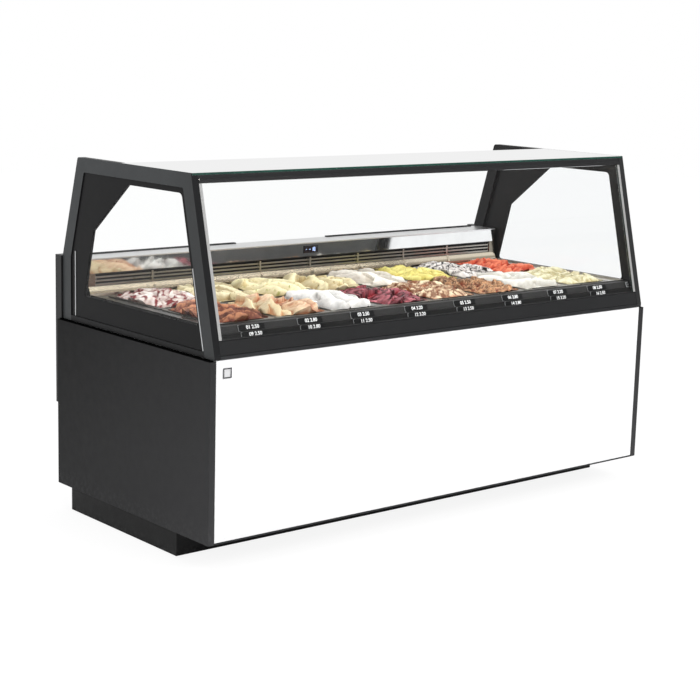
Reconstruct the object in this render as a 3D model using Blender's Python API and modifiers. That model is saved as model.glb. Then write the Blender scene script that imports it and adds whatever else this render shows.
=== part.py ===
"""Two-row ice cream dipping cabinet with a glazed display, modelled piece by piece.

Frame: origin on the floor under the middle of the overall box, +Z up, +X to the
customer's right, -Y towards the customer. Metres. Sizes are given as cabinet
lengths: X from the left outer face, Y from the customer's front plane and Z from
the floor. place() turns them into the scene's frame.
"""
import math

import bmesh
import bpy
from mathutils import Matrix, Vector

# ------------------------------------------------------------------ driving sizes
WIDTH = 2.240            # over both side panels
DEPTH = 1.045            # front plane to the back of the rear housing
HEIGHT = 1.375           # floor to the top of the glass shelf
MID_X, MID_Y = WIDTH / 2, DEPTH / 2
GAP = 0.0005             # running gap between neighbouring pieces

SIDE_T = 0.027           # side panel thickness
SIDE_D = 1.014           # side panel depth
BASE_Z = 0.099           # underside of the base tray
TRAY_T = 0.005
DECK_Z = BASE_Z + TRAY_T + GAP      # what stands on the base tray starts here
BODY_Z = 0.748           # top of the side panels
BODY_X = (SIDE_T + GAP, WIDTH - SIDE_T - GAP)      # between the side panels
BODY_REAR = 1.0120       # rear edge of the tray and the tub

FRAME_OUT = 0.018        # outer face of the end frames
FRAME_IN = 0.044         # inner face of the end frames
SPAN_X = (FRAME_IN + GAP, WIDTH - FRAME_IN - GAP)  # between the end frames
FRAME_Z0 = 0.752
FRAME_W = 0.0535         # height of the frame's top band
LEAN = 0.2443            # front leans back this much per metre of height
LEAN_Z0 = 0.765          # the lean starts here
LEAN_ANGLE = math.atan(LEAN)
REAR_TOP = 0.889         # rear post, at the top and at its knee
REAR_KNEE = 1.000
REAR_KNEE_Z = 0.998

SHELF_T = 0.008          # glass thickness
SHELF_REAR = 0.600
SHELF_UNDER = HEIGHT - SHELF_T
PANE_T = 0.008           # side glass thickness

TUB_X = (0.0465, WIDTH - 0.0465)    # tub, deck and worktop share these ends
TUB_TOP = 0.8375
LINER_T = 0.0016

PAN_L = 0.360            # standard 360 x 250 x 120 mm pan, length along Y
PAN_W = 0.250
PAN_H = 0.120
PAN_PITCH = 0.2534
PAN_COLS = 8
PAN_ROW_PITCH = 0.366
PAN_TOP = 0.855
PAN_RIM = 0.012
PAN_WALL = 0.0012
ROW_Y = (0.103, 0.103 + PAN_ROW_PITCH)             # front edge of each row of pans

WORKTOP_Z = 0.994
WORKTOP_Y0 = 0.857
WORKTOP_Y1 = 0.9904      # the working surface steps down to the server's ledge here
GRILLE_X = (0.0765, WIDTH - 0.0765)                # air outlet
GRILLE_TOP = 0.9362
BACK_Z0 = 0.4160         # bottom of the rear back panel

CABLE_X, CABLE_Z = 2.1050, 0.1230                  # where the cable leaves the rear


def front_y(z):
    """Depth of the leaning front plane at height z."""
    return LEAN * (z - LEAN_Z0)


def place(x, y, z):
    """Scene position of a point given in cabinet lengths."""
    return Vector((x - MID_X, y - MID_Y, z))


# ------------------------------------------------------------------ scene set-up
for old in list(bpy.data.objects):
    bpy.data.objects.remove(old, do_unlink=True)

PARTS = bpy.data.collections.new("ice_cream_dipping_cabinet")
HELPERS = bpy.data.collections.new("cutters")
bpy.context.scene.collection.children.link(PARTS)
bpy.context.scene.collection.children.link(HELPERS)

# name: (base colour, roughness, metallic, alpha)
FINISHES = {
    "white_lacquer": ((0.86, 0.87, 0.87), 0.25, 0.0, 1.0),
    "dark_laminate": ((0.030, 0.030, 0.031), 0.45, 0.0, 1.0),
    "frame_anthracite": ((0.070, 0.076, 0.078), 0.42, 0.0, 1.0),
    "trim_grey": ((0.10, 0.10, 0.102), 0.40, 0.0, 1.0),
    "plinth_black": ((0.022, 0.022, 0.023), 0.5, 0.0, 1.0),
    "stainless": ((0.62, 0.61, 0.58), 0.28, 1.0, 1.0),
    "polished_stainless": ((0.75, 0.75, 0.75), 0.06, 1.0, 1.0),
    "bright_aluminium": ((0.55, 0.56, 0.56), 0.3, 1.0, 1.0),
    "clear_glass": ((0.85, 0.92, 0.90), 0.02, 0.0, 0.35),
    "insulated_shell": ((0.55, 0.56, 0.57), 0.6, 0.0, 1.0),
    "black_plastic": ((0.012, 0.012, 0.013), 0.35, 0.0, 1.0),
    "led_cover": ((0.9, 0.9, 0.86), 0.4, 0.0, 1.0),
    "coil_fins": ((0.58, 0.60, 0.62), 0.35, 1.0, 1.0),
    "cable_rubber": ((0.015, 0.015, 0.015), 0.7, 0.0, 1.0),
    "galvanised_steel": ((0.42, 0.43, 0.44), 0.45, 1.0, 1.0),
    "chrome": ((0.72, 0.72, 0.72), 0.12, 1.0, 1.0),
}


def material(name, colour, roughness, metallic, alpha):
    mat = bpy.data.materials.new(name)
    mat.use_nodes = True
    inputs = mat.node_tree.nodes["Principled BSDF"].inputs
    inputs["Base Color"].default_value = (*colour, 1.0)
    inputs["Roughness"].default_value = roughness
    inputs["Metallic"].default_value = metallic
    inputs["Alpha"].default_value = alpha
    mat.diffuse_color = (*colour, alpha)
    return mat


MATERIALS = {name: material(name, *finish) for name, finish in FINISHES.items()}


# ------------------------------------------------------------------ solids
def link(ob, mat, group):
    for col in list(ob.users_collection):
        col.objects.unlink(ob)
    group.objects.link(ob)
    if mat:
        ob.data.materials.clear()
        ob.data.materials.append(MATERIALS[mat])


def box(name, lo, hi, mat, bevel=0.0, segments=1, group=PARTS):
    """Axis-aligned block between two corners given in cabinet lengths."""
    a, b = place(*lo), place(*hi)
    bpy.ops.mesh.primitive_cube_add(size=1.0, location=(a + b) / 2)
    ob = bpy.context.active_object
    ob.name = ob.data.name = name
    size = b - a
    ob.data.transform(Matrix.Diagonal((*size, 1.0)))
    link(ob, mat, group)
    if bevel:
        mod = ob.modifiers.new("edges", "BEVEL")
        mod.width = bevel
        mod.segments = segments
        mod.limit_method = "ANGLE"
    return ob


def cylinder(name, radius, length, centre, axis, mat, verts, group=PARTS):
    """Solid cylinder along Y or Z, centre in cabinet lengths."""
    bpy.ops.mesh.primitive_cylinder_add(
        vertices=verts,
        radius=radius,
        depth=length,
        location=place(*centre),
        rotation={"Y": (math.pi / 2, 0, 0), "Z": (0, 0, 0)}[axis],
    )
    ob = bpy.context.active_object
    ob.name = ob.data.name = name
    link(ob, mat, group)
    ob.data.shade_smooth()
    ob.data.set_sharp_from_angle(angle=math.radians(40))
    return ob


def bake(ob):
    """Replaces an object by its evaluated, welded mesh in the same place."""
    bpy.context.view_layer.update()
    depsgraph = bpy.context.evaluated_depsgraph_get()
    mesh = bpy.data.meshes.new_from_object(ob.evaluated_get(depsgraph), depsgraph=depsgraph)
    bm = bmesh.new()
    bm.from_mesh(mesh)
    bmesh.ops.remove_doubles(bm, verts=bm.verts, dist=1e-6)
    bmesh.ops.recalc_face_normals(bm, faces=bm.faces)
    bm.to_mesh(mesh)
    bm.free()
    new = bpy.data.objects.new(ob.name, mesh)
    new.matrix_world = ob.matrix_world.copy()
    for col in ob.users_collection:
        col.objects.link(new)
    name = ob.name
    bpy.data.objects.remove(ob, do_unlink=True)
    new.name = mesh.name = name
    return new


def add_poly_spline(curve, points):
    """Adds a straight-segment spline through (x, y, z) points."""
    spline = curve.splines.new("POLY")
    spline.points.add(len(points) - 1)
    for point, co in zip(spline.points, points):
        point.co = (*co, 1.0)
    return spline


def flat_curve(name, loops, thickness, mat, group=PARTS):
    """Filled outline (with holes) in local XY, as thick as asked about Z = 0."""
    curve = bpy.data.curves.new(name, "CURVE")
    curve.dimensions = "2D"
    curve.fill_mode = "BOTH"
    curve.extrude = thickness / 2
    for loop in loops:
        add_poly_spline(curve, [(u, v, 0.0) for u, v in loop]).use_cyclic_u = True
    ob = bpy.data.objects.new(name, curve)
    link(ob, mat, group)
    return ob


def outline(name, loops, lo, hi, plane, mat, group=PARTS):
    """Flat outline (with holes) extruded between two planes.

    plane "yz": loops are (Y, Z), extruded along X; "xz": (X, Z) along Y;
    "xy": (X, Y) along Z.
    """
    mid = (lo + hi) / 2
    (du, dv), matrix = {
        "yz": ((MID_Y, 0), ((0, 0, 1, mid - MID_X), (1, 0, 0, 0), (0, 1, 0, 0), (0, 0, 0, 1))),
        "xz": ((MID_X, 0), ((1, 0, 0, 0), (0, 0, -1, mid - MID_Y), (0, 1, 0, 0), (0, 0, 0, 1))),
        "xy": ((MID_X, MID_Y), Matrix.Translation((0, 0, mid))),
    }[plane]
    loops = [[(u - du, v - dv) for u, v in loop] for loop in loops]
    ob = flat_curve(name, loops, hi - lo, mat, group)
    ob.matrix_world = Matrix(matrix)
    return bake(ob)


def lathe(name, profile, steps, centre, mat):
    """Turned solid from an (r, z) profile listed from top to bottom."""
    mesh = bpy.data.meshes.new(name)
    bm = bmesh.new()
    verts = [bm.verts.new((r, 0.0, z)) for r, z in profile]
    for a, b in zip(verts, verts[1:]):
        bm.edges.new((a, b))
    bm.to_mesh(mesh)
    bm.free()
    ob = bpy.data.objects.new(name, mesh)
    link(ob, mat, PARTS)
    ob.location = place(*centre)
    mod = ob.modifiers.new("turn", "SCREW")
    mod.steps = mod.render_steps = steps
    mod.use_merge_vertices = True
    mod.merge_threshold = 0.00001
    mod.use_smooth_shade = True
    return bake(ob)


def boolean(ob, other, operation):
    mod = ob.modifiers.new(operation.lower(), "BOOLEAN")
    mod.operation = operation
    mod.solver = "EXACT"
    mod.object = other
    other.hide_render = True
    other.display_type = "WIRE"


def cut(ob, lo, hi):
    """Takes the block between two corners out of an object."""
    boolean(ob, box(ob.name + "_cut", lo, hi, None, group=HELPERS), "DIFFERENCE")


def join(ob, other):
    boolean(ob, other, "UNION")


def join_box(ob, name, lo, hi, mat, bevel=0.0, segments=1):
    join(ob, box(name, lo, hi, mat, bevel, segments, HELPERS))


# ------------------------------------------------------------------ flat shapes
def rect(x0, x1, y0, y1):
    return [(x0, y0), (x1, y0), (x1, y1), (x0, y1)]


def grow(bounds, margin):
    """Bounds (x0, x1, y0, y1) moved outward by a margin on every side."""
    x0, x1, y0, y1 = bounds
    return x0 - margin, x1 + margin, y0 - margin, y1 + margin


def circle(x, y, radius, count):
    angles = [2 * math.pi * i / count for i in range(count)]
    return [(x + radius * math.cos(t), y + radius * math.sin(t)) for t in angles]


def rounded(points, radii, steps=4):
    """Polygon with its corners replaced by arcs."""
    out = []
    for i, (corner, radius) in enumerate(zip(points, radii)):
        corner = Vector(corner)
        if radius <= 0:
            out.append((corner.x, corner.y))
            continue
        to_prev = (Vector(points[i - 1]) - corner).normalized()
        to_next = (Vector(points[(i + 1) % len(points)]) - corner).normalized()
        half = to_prev.angle(to_next) / 2
        reach = radius / math.tan(half)
        centre = corner + (to_prev + to_next).normalized() * (radius / math.sin(half))
        start = corner + to_prev * reach - centre
        end = corner + to_next * reach - centre
        angle = math.atan2(start.y, start.x)
        turn = math.atan2(start.x * end.y - start.y * end.x, start.dot(end))
        for j in range(steps + 1):
            t = angle + turn * j / steps
            out.append((centre.x + radius * math.cos(t), centre.y + radius * math.sin(t)))
    return out


def comb(bounds, count, fin_t, fin_h):
    """Finned block in (X, Z): count fins along its top and its bottom."""
    x0, x1, z0, z1 = bounds
    step = (x1 - x0) / count
    top, bottom = [], []
    for i in range(count):
        a = x0 + i * step + (step - fin_t) / 2
        b = a + fin_t
        top += [(a, z1 - fin_h), (a, z1), (b, z1), (b, z1 - fin_h)]
        bottom += [(a, z0 + fin_h), (a, z0), (b, z0), (b, z0 + fin_h)]
    return bottom + list(reversed(top))


SIDES = ("left", "right")


def at_end(side, x0, x1):
    """X range given from the left face, mirrored for the right end."""
    return (x0, x1) if side == "left" else (WIDTH - x1, WIDTH - x0)


# ------------------------------------------------------------------ plinth and feet
def build_plinth():
    skirt = (0.024, WIDTH - 0.024, 0.228, 0.953)   # toe space at the customer's side
    wall = 0.018
    loops = [rect(*skirt), rect(*grow(skirt, -wall))]
    outline("plinth_skirt", loops, 0.0, BASE_Z - GAP, "xy", "plinth_black")


def build_feet():
    top = BASE_Z - 2 * GAP
    inset = 0.13
    profile = [   # (r, z)
        (0.0, top), (0.008, top), (0.008, 0.030), (0.014, 0.030), (0.014, 0.020),
        (0.018, 0.018), (0.030, 0.008), (0.030, 0.0), (0.0, 0.0),
    ]
    for end, y in (("front", 0.300), ("rear", 0.880)):
        for side, x in zip(SIDES, (inset, WIDTH - inset)):
            name = "levelling_foot_%s_%s" % (end, side)
            lathe(name, profile, 16, (x, y, 0.0), "galvanised_steel")


# ------------------------------------------------------------------ lower body
def build_body():
    x0, x1 = BODY_X
    box("base_tray", (x0, 0.0005, BASE_Z), (x1, BODY_REAR, BASE_Z + TRAY_T), "plinth_black")
    for side in SIDES:
        a, b = at_end(side, 0, SIDE_T)
        name = "side_panel_" + side
        box(name, (a, 0, BASE_Z), (b, SIDE_D, BODY_Z), "dark_laminate", 0.0012)
    box("front_panel", (x0, 0.0020, DECK_Z), (x1, 0.0200, 0.7500), "white_lacquer", 0.0010)
    badge = rounded(rect(0.0553, 0.0913, 0.6855, 0.7215), [0.003] * 4, 3)
    outline("badge_plate", [badge], 0.0003, 0.0017, "xz", "chrome")


def build_front_rails():
    """Full-width rails below the front glass, as (Y, Z) sections."""
    trim = [(0.0, 0.7508), (0.030, 0.7508), (0.030, 0.7655), (0.0030, 0.7655), (0.0, 0.7625)]
    outline("front_trim_rail", [trim], *SPAN_X, "yz", "trim_grey")

    # leaning band from the trim rail up to the pane
    z0, z1, rear = 0.7660, 0.8125, 0.0400
    sill = [(front_y(z0) + GAP, z0), (rear, z0), (rear, z1), (front_y(z1) + GAP, z1)]
    outline("front_sill", [sill], *SPAN_X, "yz", "frame_anthracite")

    # two-step rail that carries the name cards
    label = [
        (0.0270, 0.8130), (0.0400, 0.8130), (0.0487, 0.8385), (0.0795, 0.8385),
        (0.0795, 0.8550), (0.0535, 0.8545), (0.0440, 0.8330), (0.0330, 0.8325),
    ]
    outline("label_rail", [label], *SPAN_X, "yz", "black_plastic")


# ------------------------------------------------------------------ cold tub
def build_tub():
    """Insulated shell with a steel liner; returns the liner."""
    x0, x1 = TUB_X
    open_z = 0.90        # the cuts run out above the tub
    liner_x, liner_y0, liner_y1, liner_z0 = 0.1000, 0.0860, 0.9740, 0.6150

    def hollow(ob, inset):
        """Cuts the cavity, inset from the outside of the liner."""
        lo = (liner_x + inset, liner_y0 + inset, liner_z0 + inset)
        cut(ob, lo, (WIDTH - liner_x - inset, liner_y1 - inset, open_z))

    tub = box("insulated_tub", (x0, 0.0492, 0.555), (x1, BODY_REAR, TUB_TOP), "insulated_shell")
    hollow(tub, -GAP)
    liner = box(
        "tub_liner",
        (liner_x, liner_y0, liner_z0),
        (WIDTH - liner_x, liner_y1, 0.8390),
        "stainless",
    )
    flange_z = TUB_TOP + GAP
    flange_top = flange_z + LINER_T
    join_box(
        liner, "liner_flange", (x0, 0.0815, flange_z), (x1, BODY_REAR, flange_top), "stainless"
    )
    hollow(liner, LINER_T)
    return liner


def build_pan_deck():
    """Frame the pans hang on: two bays, with an upstand at the front and the ends."""
    x0, x1 = TUB_X
    front = 0.0820
    bay_inset = 0.1050
    ledge = 0.0085       # how far the frame reaches under each pan's ends
    bays = [
        rect(bay_inset, WIDTH - bay_inset, y + ledge, y + PAN_L - ledge) for y in ROW_Y
    ]
    deck = outline(
        "pan_support_frame",
        [rect(x0, x1, front, 0.8615)] + bays,
        0.8402,
        0.8510,
        "xy",
        "stainless",
    )
    lip_t, lip_rear = 0.003, 0.8440
    lip = [
        (x0, front), (x1, front), (x1, lip_rear), (x1 - lip_t, lip_rear),
        (x1 - lip_t, front + lip_t), (x0 + lip_t, front + lip_t),
        (x0 + lip_t, lip_rear), (x0, lip_rear),
    ]
    join(deck, outline("deck_lip", [lip], 0.8450, 0.8590, "xy", "stainless", HELPERS))


# ------------------------------------------------------------------ pans
def pan_mesh():
    """Tapered, round-cornered pan with a flat rim; its origin is at the rim's centre."""
    rim_x, rim_y = PAN_W / 2, PAN_L / 2
    body_x, body_y = rim_x - PAN_RIM, rim_y - PAN_RIM
    taper = 0.011
    floor_x, floor_y = body_x - taper, body_y - taper
    rim_t = 0.0030
    # (half width, half length, corner radius, z), outside from the floor up, then down inside
    stations = [
        (floor_x, floor_y, 0.020, -PAN_H),
        (body_x, body_y, 0.024, -rim_t),
        (rim_x, rim_y, 0.012, -rim_t),
        (rim_x, rim_y, 0.012, 0.0),
        (body_x - PAN_WALL, body_y - PAN_WALL, 0.023, 0.0),
        (floor_x - PAN_WALL, floor_y - PAN_WALL, 0.019, -PAN_H + PAN_WALL),
    ]
    bm = bmesh.new()
    rings = []
    for hx, hy, radius, z in stations:
        loop = rounded(rect(-hx, hx, -hy, hy), [radius] * 4, 3)
        rings.append([bm.verts.new((x, y, z)) for x, y in loop])
    count = len(rings[0])
    for a, b in zip(rings, rings[1:]):
        for i in range(count):
            j = (i + 1) % count
            bm.faces.new((a[i], a[j], b[j], b[i]))
    bm.faces.new(list(reversed(rings[0])))
    bm.faces.new(rings[-1])
    bmesh.ops.recalc_face_normals(bm, faces=bm.faces)
    mesh = bpy.data.meshes.new("gelato_pan")
    bm.to_mesh(mesh)
    bm.free()
    mesh.materials.append(MATERIALS["stainless"])
    mesh.shade_smooth()
    mesh.set_sharp_from_angle(angle=math.radians(35))
    return mesh


def build_pans():
    """All pans share one mesh."""
    mesh = pan_mesh()
    first_x = (WIDTH - PAN_PITCH * PAN_COLS) / 2 + PAN_PITCH / 2
    for row, y in zip(("front", "back"), ROW_Y):
        for i in range(PAN_COLS):
            ob = bpy.data.objects.new("pan_%s_%d" % (row, i + 1), mesh)
            PARTS.objects.link(ob)
            ob.location = place(first_x + i * PAN_PITCH, y + PAN_L / 2, PAN_TOP)


# ------------------------------------------------------------------ end frames
def frame_opening(gap):
    """(Y, Z) opening of the end frame, shrunk by gap for the pane."""
    front_w, bottom_w, rear_w, rear_top_w = 0.060, 0.020, 0.058, 0.0590
    rear_lean = (REAR_KNEE - REAR_TOP) / (HEIGHT - REAR_KNEE_Z)
    z0, z1 = FRAME_Z0 + bottom_w + gap, HEIGHT - FRAME_W - gap
    rear = REAR_KNEE - rear_w - gap
    top = REAR_TOP - rear_top_w + (HEIGHT - z1) * rear_lean - gap
    knee = z1 - (rear - top) / rear_lean
    return rounded(
        [
            (front_y(z0) + front_w + gap, z0), (rear, z0), (rear, knee),
            (top, z1), (front_y(z1) + front_w + gap, z1),
        ],
        [0.004, 0.004, 0, 0.010, 0.008],
        3,
    )


def build_end_frames():
    outer = rounded(
        [
            (0.0, FRAME_Z0), (REAR_KNEE, FRAME_Z0), (REAR_KNEE, REAR_KNEE_Z),
            (REAR_TOP, HEIGHT), (front_y(HEIGHT), HEIGHT), (0.0, LEAN_Z0),
        ],
        [0, 0, 0, 0.012, 0.0015, 0],
    )
    pane_x = FRAME_OUT + 0.0045
    for side in SIDES:
        span = at_end(side, FRAME_OUT, FRAME_IN)
        loops = [outer, frame_opening(0.0)]
        ring = outline("end_frame_" + side, loops, *span, "yz", "frame_anthracite")
        # rebate for the glass shelf, open towards the middle
        a, b = at_end(side, FRAME_OUT + 0.0034, FRAME_IN + 0.010)
        cut(ring, (a, 0.100, SHELF_UNDER - GAP), (b, SHELF_REAR + 0.0012, HEIGHT + 0.010))
        span = at_end(side, pane_x, pane_x + PANE_T)
        outline("side_glass_" + side, [frame_opening(0.0006)], *span, "yz", "clear_glass")


# ------------------------------------------------------------------ glass shelf and its rail
def build_shelf():
    inset = FRAME_OUT + 0.0040
    box(
        "shelf_glass",
        (inset, front_y(HEIGHT - SHELF_T / 2), SHELF_UNDER),
        (WIDTH - inset, SHELF_REAR, HEIGHT),
        "clear_glass",
        0.0008,
    )
    z0, z1, rear = 1.3535, SHELF_UNDER - GAP, 0.1850
    setback = 0.0010     # behind the leaning front plane
    rail = [
        (front_y(z0) + setback, z0), (rear, z0), (rear, z1),
        (front_y(SHELF_UNDER) + setback, z1),
    ]
    outline("shelf_rail", [rail], *SPAN_X, "yz", "frame_anthracite")
    light = [
        (0.1620, 1.3530), (0.1600, 1.3440), (0.1640, 1.3400),
        (0.1800, 1.3400), (0.1840, 1.3440), (0.1840, 1.3530),
    ]
    outline("led_light_bar", [light], 0.060, WIDTH - 0.060, "yz", "led_cover")


# ------------------------------------------------------------------ front glass
def build_front_glass():
    """Glass and frame hung on a pivot along their top edge."""
    hinge_z = 1.3525
    pivot = bpy.data.objects.new("front_glass_pivot", None)
    PARTS.objects.link(pivot)
    pivot.location = place(MID_X, front_y(hinge_z), hinge_z)
    # local Y up the glass, local Z outward
    pivot.rotation_euler = (math.pi / 2 - LEAN_ANGLE, 0, 0)

    def hang(name, loop, z0, z1, mat):
        """Piece in the pivot's frame, between local heights z0 and z1."""
        ob = bake(flat_curve(name, [loop], z1 - z0, mat))
        ob.data.transform(Matrix.Translation((0, 0, (z0 + z1) / 2)))
        ob.parent = pivot

    bottom = -(hinge_z - 0.8160) / math.cos(LEAN_ANGLE)
    outer = MID_X - FRAME_IN - 0.0015
    inner = outer - 0.012          # inner edge of the uprights
    bar = -0.0125                  # lower edge of the top bar
    glass = rect(-inner + GAP, inner - GAP, bottom, bar - GAP)
    hang("front_glass", glass, -0.0090, -0.0010, "clear_glass")
    frame = [
        (-outer, bottom), (-inner, bottom), (-inner, bar), (inner, bar),
        (inner, bottom), (outer, bottom), (outer, 0.0), (-outer, 0.0),
    ]
    hang("front_glass_frame", frame, -0.0100, 0.0, "bright_aluminium")


# ------------------------------------------------------------------ rear housing
def build_worktop():
    """Folded worktop as a (Y, Z) section, with edge strips in its shallow step."""
    under, step_z = 0.9892, WORKTOP_Z - 0.0010
    section = [
        (WORKTOP_Y0, under), (0.8730, under), (0.8730, 0.9500), (0.8760, 0.9500),
        (0.8760, under), (0.9856, under), (0.9856, 0.9797), (1.0415, 0.9797),
        (1.0415, 0.9755), (DEPTH, 0.9755), (DEPTH, 0.9845), (WORKTOP_Y1, 0.9845),
        (WORKTOP_Y1, step_z), (0.9692, step_z), (0.9692, WORKTOP_Z), (WORKTOP_Y0, WORKTOP_Z),
    ]
    outline("worktop", [section], *TUB_X, "yz", "stainless")
    for side, x0, x1 in (("left", 0.050, 0.812), ("right", 1.2935, 2.150)):
        box(
            "rear_edge_strip_" + side,
            (x0, 0.9702, step_z + GAP),
            (x1, 0.9882, WORKTOP_Z + 0.0042),
            "black_plastic",
            0.0012,
            2,
        )


def build_display():
    """Mirror strip with the temperature display in its opening."""
    opening = (1.0790, 1.1490, 0.9535, 0.9775)     # x0, x1, z0, z1
    loops = [rect(*TUB_X, 0.9370, 0.9887), rect(*opening)]
    outline("mirror_strip", loops, 0.8590, 0.8620, "xz", "polished_stainless")
    x0, x1, z0, z1 = grow(opening, 0.0030)
    face = box("temperature_display", (x0, 0.8573, z0), (x1, 0.8587, z1), "black_plastic")
    x0, x1, z0, z1 = grow(opening, -0.0006)
    join_box(face, "display_body", (x0, 0.8580, z0), (x1, 0.8722, z1), "black_plastic")


def build_air_outlet():
    """Louvred outlet: three slots a section, with bars between the sections."""
    x0, x1 = GRILLE_X
    sections, slots = 8, 3
    bar, border = 0.008, 0.004
    slot_z, slot_h, slot_pitch = 0.8945, 0.0095, 0.0140
    slot_w = (x1 - x0 - 2 * border - bar * (sections - 1)) / sections
    holes = []
    for i in range(sections):
        for j in range(slots):
            x = x0 + border + i * (slot_w + bar)
            z = slot_z + j * slot_pitch
            holes.append(rect(x, x + slot_w, z, z + slot_h))
    loops = [rect(x0, x1, 0.8890, GRILLE_TOP)] + holes
    outline("air_outlet_grille", loops, 0.8665, 0.8695, "xz", "stainless")

    # folded steel strip below the outlet, with an upright at each end
    section = [
        (0.8465, 0.8515), (0.8710, 0.8515), (0.8710, 0.8882), (0.8600, 0.8882), (0.8480, 0.8620),
    ]
    surround = outline("outlet_surround", [section], *TUB_X, "yz", "stainless")
    for side in SIDES:
        a, b = at_end(side, TUB_X[0], x0 - GAP)
        lo, hi = (a, 0.8620, 0.8700), (b, 0.8705, GRILLE_TOP)
        join_box(surround, "surround_end", lo, hi, "stainless")


def build_back_panel():
    """Rear housing with the control plate and its two rocker switches."""
    out_x = 0.011        # it stands a little wider than the end frames
    lo, hi = (out_x, SIDE_D + GAP, BACK_Z0), (WIDTH - out_x, DEPTH, 0.9752)
    back = box("rear_back_panel", lo, hi, "frame_anthracite")
    for side in SIDES:
        a, b = at_end(side, out_x, FRAME_IN)
        lo, hi = (a, REAR_KNEE + 0.0012, FRAME_Z0), (b, DEPTH, WORKTOP_Z)
        join_box(back, "back_end", lo, hi, "frame_anthracite")

    plate = (1.560, 1.800, 0.790, 0.860)           # x0, x1, z0, z1
    x0, x1, z0, z1 = grow(plate, 0.001)
    cut(back, (x0, 1.0350, z0), (x1, DEPTH + 0.01, z1))

    switches = (("light_switch", 1.700), ("power_switch", 1.750))
    switch_z = (plate[2] + plate[3]) / 2
    hole_x, hole_z = 0.0110, 0.0155                # half sizes
    rocker_x, rocker_y, rocker_z = 0.0100, 0.0026, 0.0130
    axle_y = 1.0402
    holes = [
        rect(x - hole_x, x + hole_x, switch_z - hole_z, switch_z + hole_z) for _, x in switches
    ]
    outline("control_plate", [rect(*plate)] + holes, 1.0353, 1.0390, "xz", "black_plastic")
    for name, x in switches:
        # rocker on a level axle, resting tilted at its off position
        lo = (x - rocker_x, axle_y - rocker_y, switch_z - rocker_z)
        hi = (x + rocker_x, axle_y + rocker_y, switch_z + rocker_z)
        rocker = box(name, lo, hi, "black_plastic", 0.0008)
        rocker.rotation_euler = (math.radians(-7.0), 0, 0)


def build_service_grille():
    """Lower rear panel with louvres and a round hole for the cable."""
    cols, rows = 4, 9
    first_x, first_z = 0.085, 0.1420
    louvre_w, louvre_h = 0.470, 0.0130
    bar, pitch_z = 0.0617, 0.0290
    louvres = []
    for i in range(cols):
        for j in range(rows):
            x = first_x + i * (louvre_w + bar)
            z = first_z + j * pitch_z
            louvres.append(rect(x, x + louvre_w, z, z + louvre_h))
    gland = circle(CABLE_X, CABLE_Z, 0.0060, 16)
    x0, x1 = BODY_X
    panel = rect(x0 + 0.001, x1 - 0.001, DECK_Z, BACK_Z0 - GAP)
    loops = [panel, gland] + louvres
    outline("rear_service_grille", loops, 1.0040, 1.0080, "xz", "dark_laminate")


# ------------------------------------------------------------------ refrigeration
def build_compressor():
    x, y = 0.420, 0.640
    profile = [   # (r, z)
        (0.0, 0.210), (0.045, 0.206), (0.075, 0.190), (0.090, 0.165), (0.094, 0.120),
        (0.094, 0.060), (0.085, 0.030), (0.060, 0.018), (0.0, 0.018),
    ]
    mat = "black_plastic"
    shell = lathe("compressor", profile, 24, (x, y, DECK_Z), mat)
    lo, hi = (x - 0.110, y - 0.080, DECK_Z), (x + 0.110, y + 0.080, DECK_Z + 0.022)
    join_box(shell, "comp_base", lo, hi, mat)
    lo, hi = (x + 0.070, y - 0.040, DECK_Z + 0.070), (x + 0.125, y + 0.040, DECK_Z + 0.140)
    join_box(shell, "comp_terminals", lo, hi, mat)
    top = (x - 0.035, y + 0.020, DECK_Z + 0.235)
    join(shell, cylinder("comp_pipe", 0.006, 0.10, top, "Z", mat, 10, HELPERS))


def fan(name, radius, hub_r, hub_h, centre, pitch):
    """Axial rotor on a Y axle, five blades pitched about their own length."""
    blade_count, blade_t = 5, 0.0022
    root = hub_r * 0.5             # the blades start inside the hub
    rotor = cylinder(name, hub_r, hub_h, centre, "Y", "black_plastic", 20)
    bm = bmesh.new()
    for i in range(blade_count):
        blade = bmesh.ops.create_cube(bm, size=1.0)["verts"]
        bmesh.ops.scale(bm, vec=(radius - root, radius * 0.55, blade_t), verts=blade)
        bmesh.ops.rotate(bm, verts=blade, matrix=Matrix.Rotation(pitch, 3, "X"))
        bmesh.ops.translate(bm, verts=blade, vec=((radius + root) / 2, 0, 0))
        turn = Matrix.Rotation(2 * math.pi * i / blade_count, 3, "Z")
        bmesh.ops.rotate(bm, verts=blade, cent=(0, 0, 0), matrix=turn)
    mesh = bpy.data.meshes.new(name + "_blades")
    bm.to_mesh(mesh)
    bm.free()
    blades = bpy.data.objects.new(name + "_blades", mesh)
    link(blades, None, HELPERS)
    blades.location = place(*centre)
    blades.rotation_euler = (math.pi / 2, 0, 0)
    join(rotor, blades)


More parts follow.
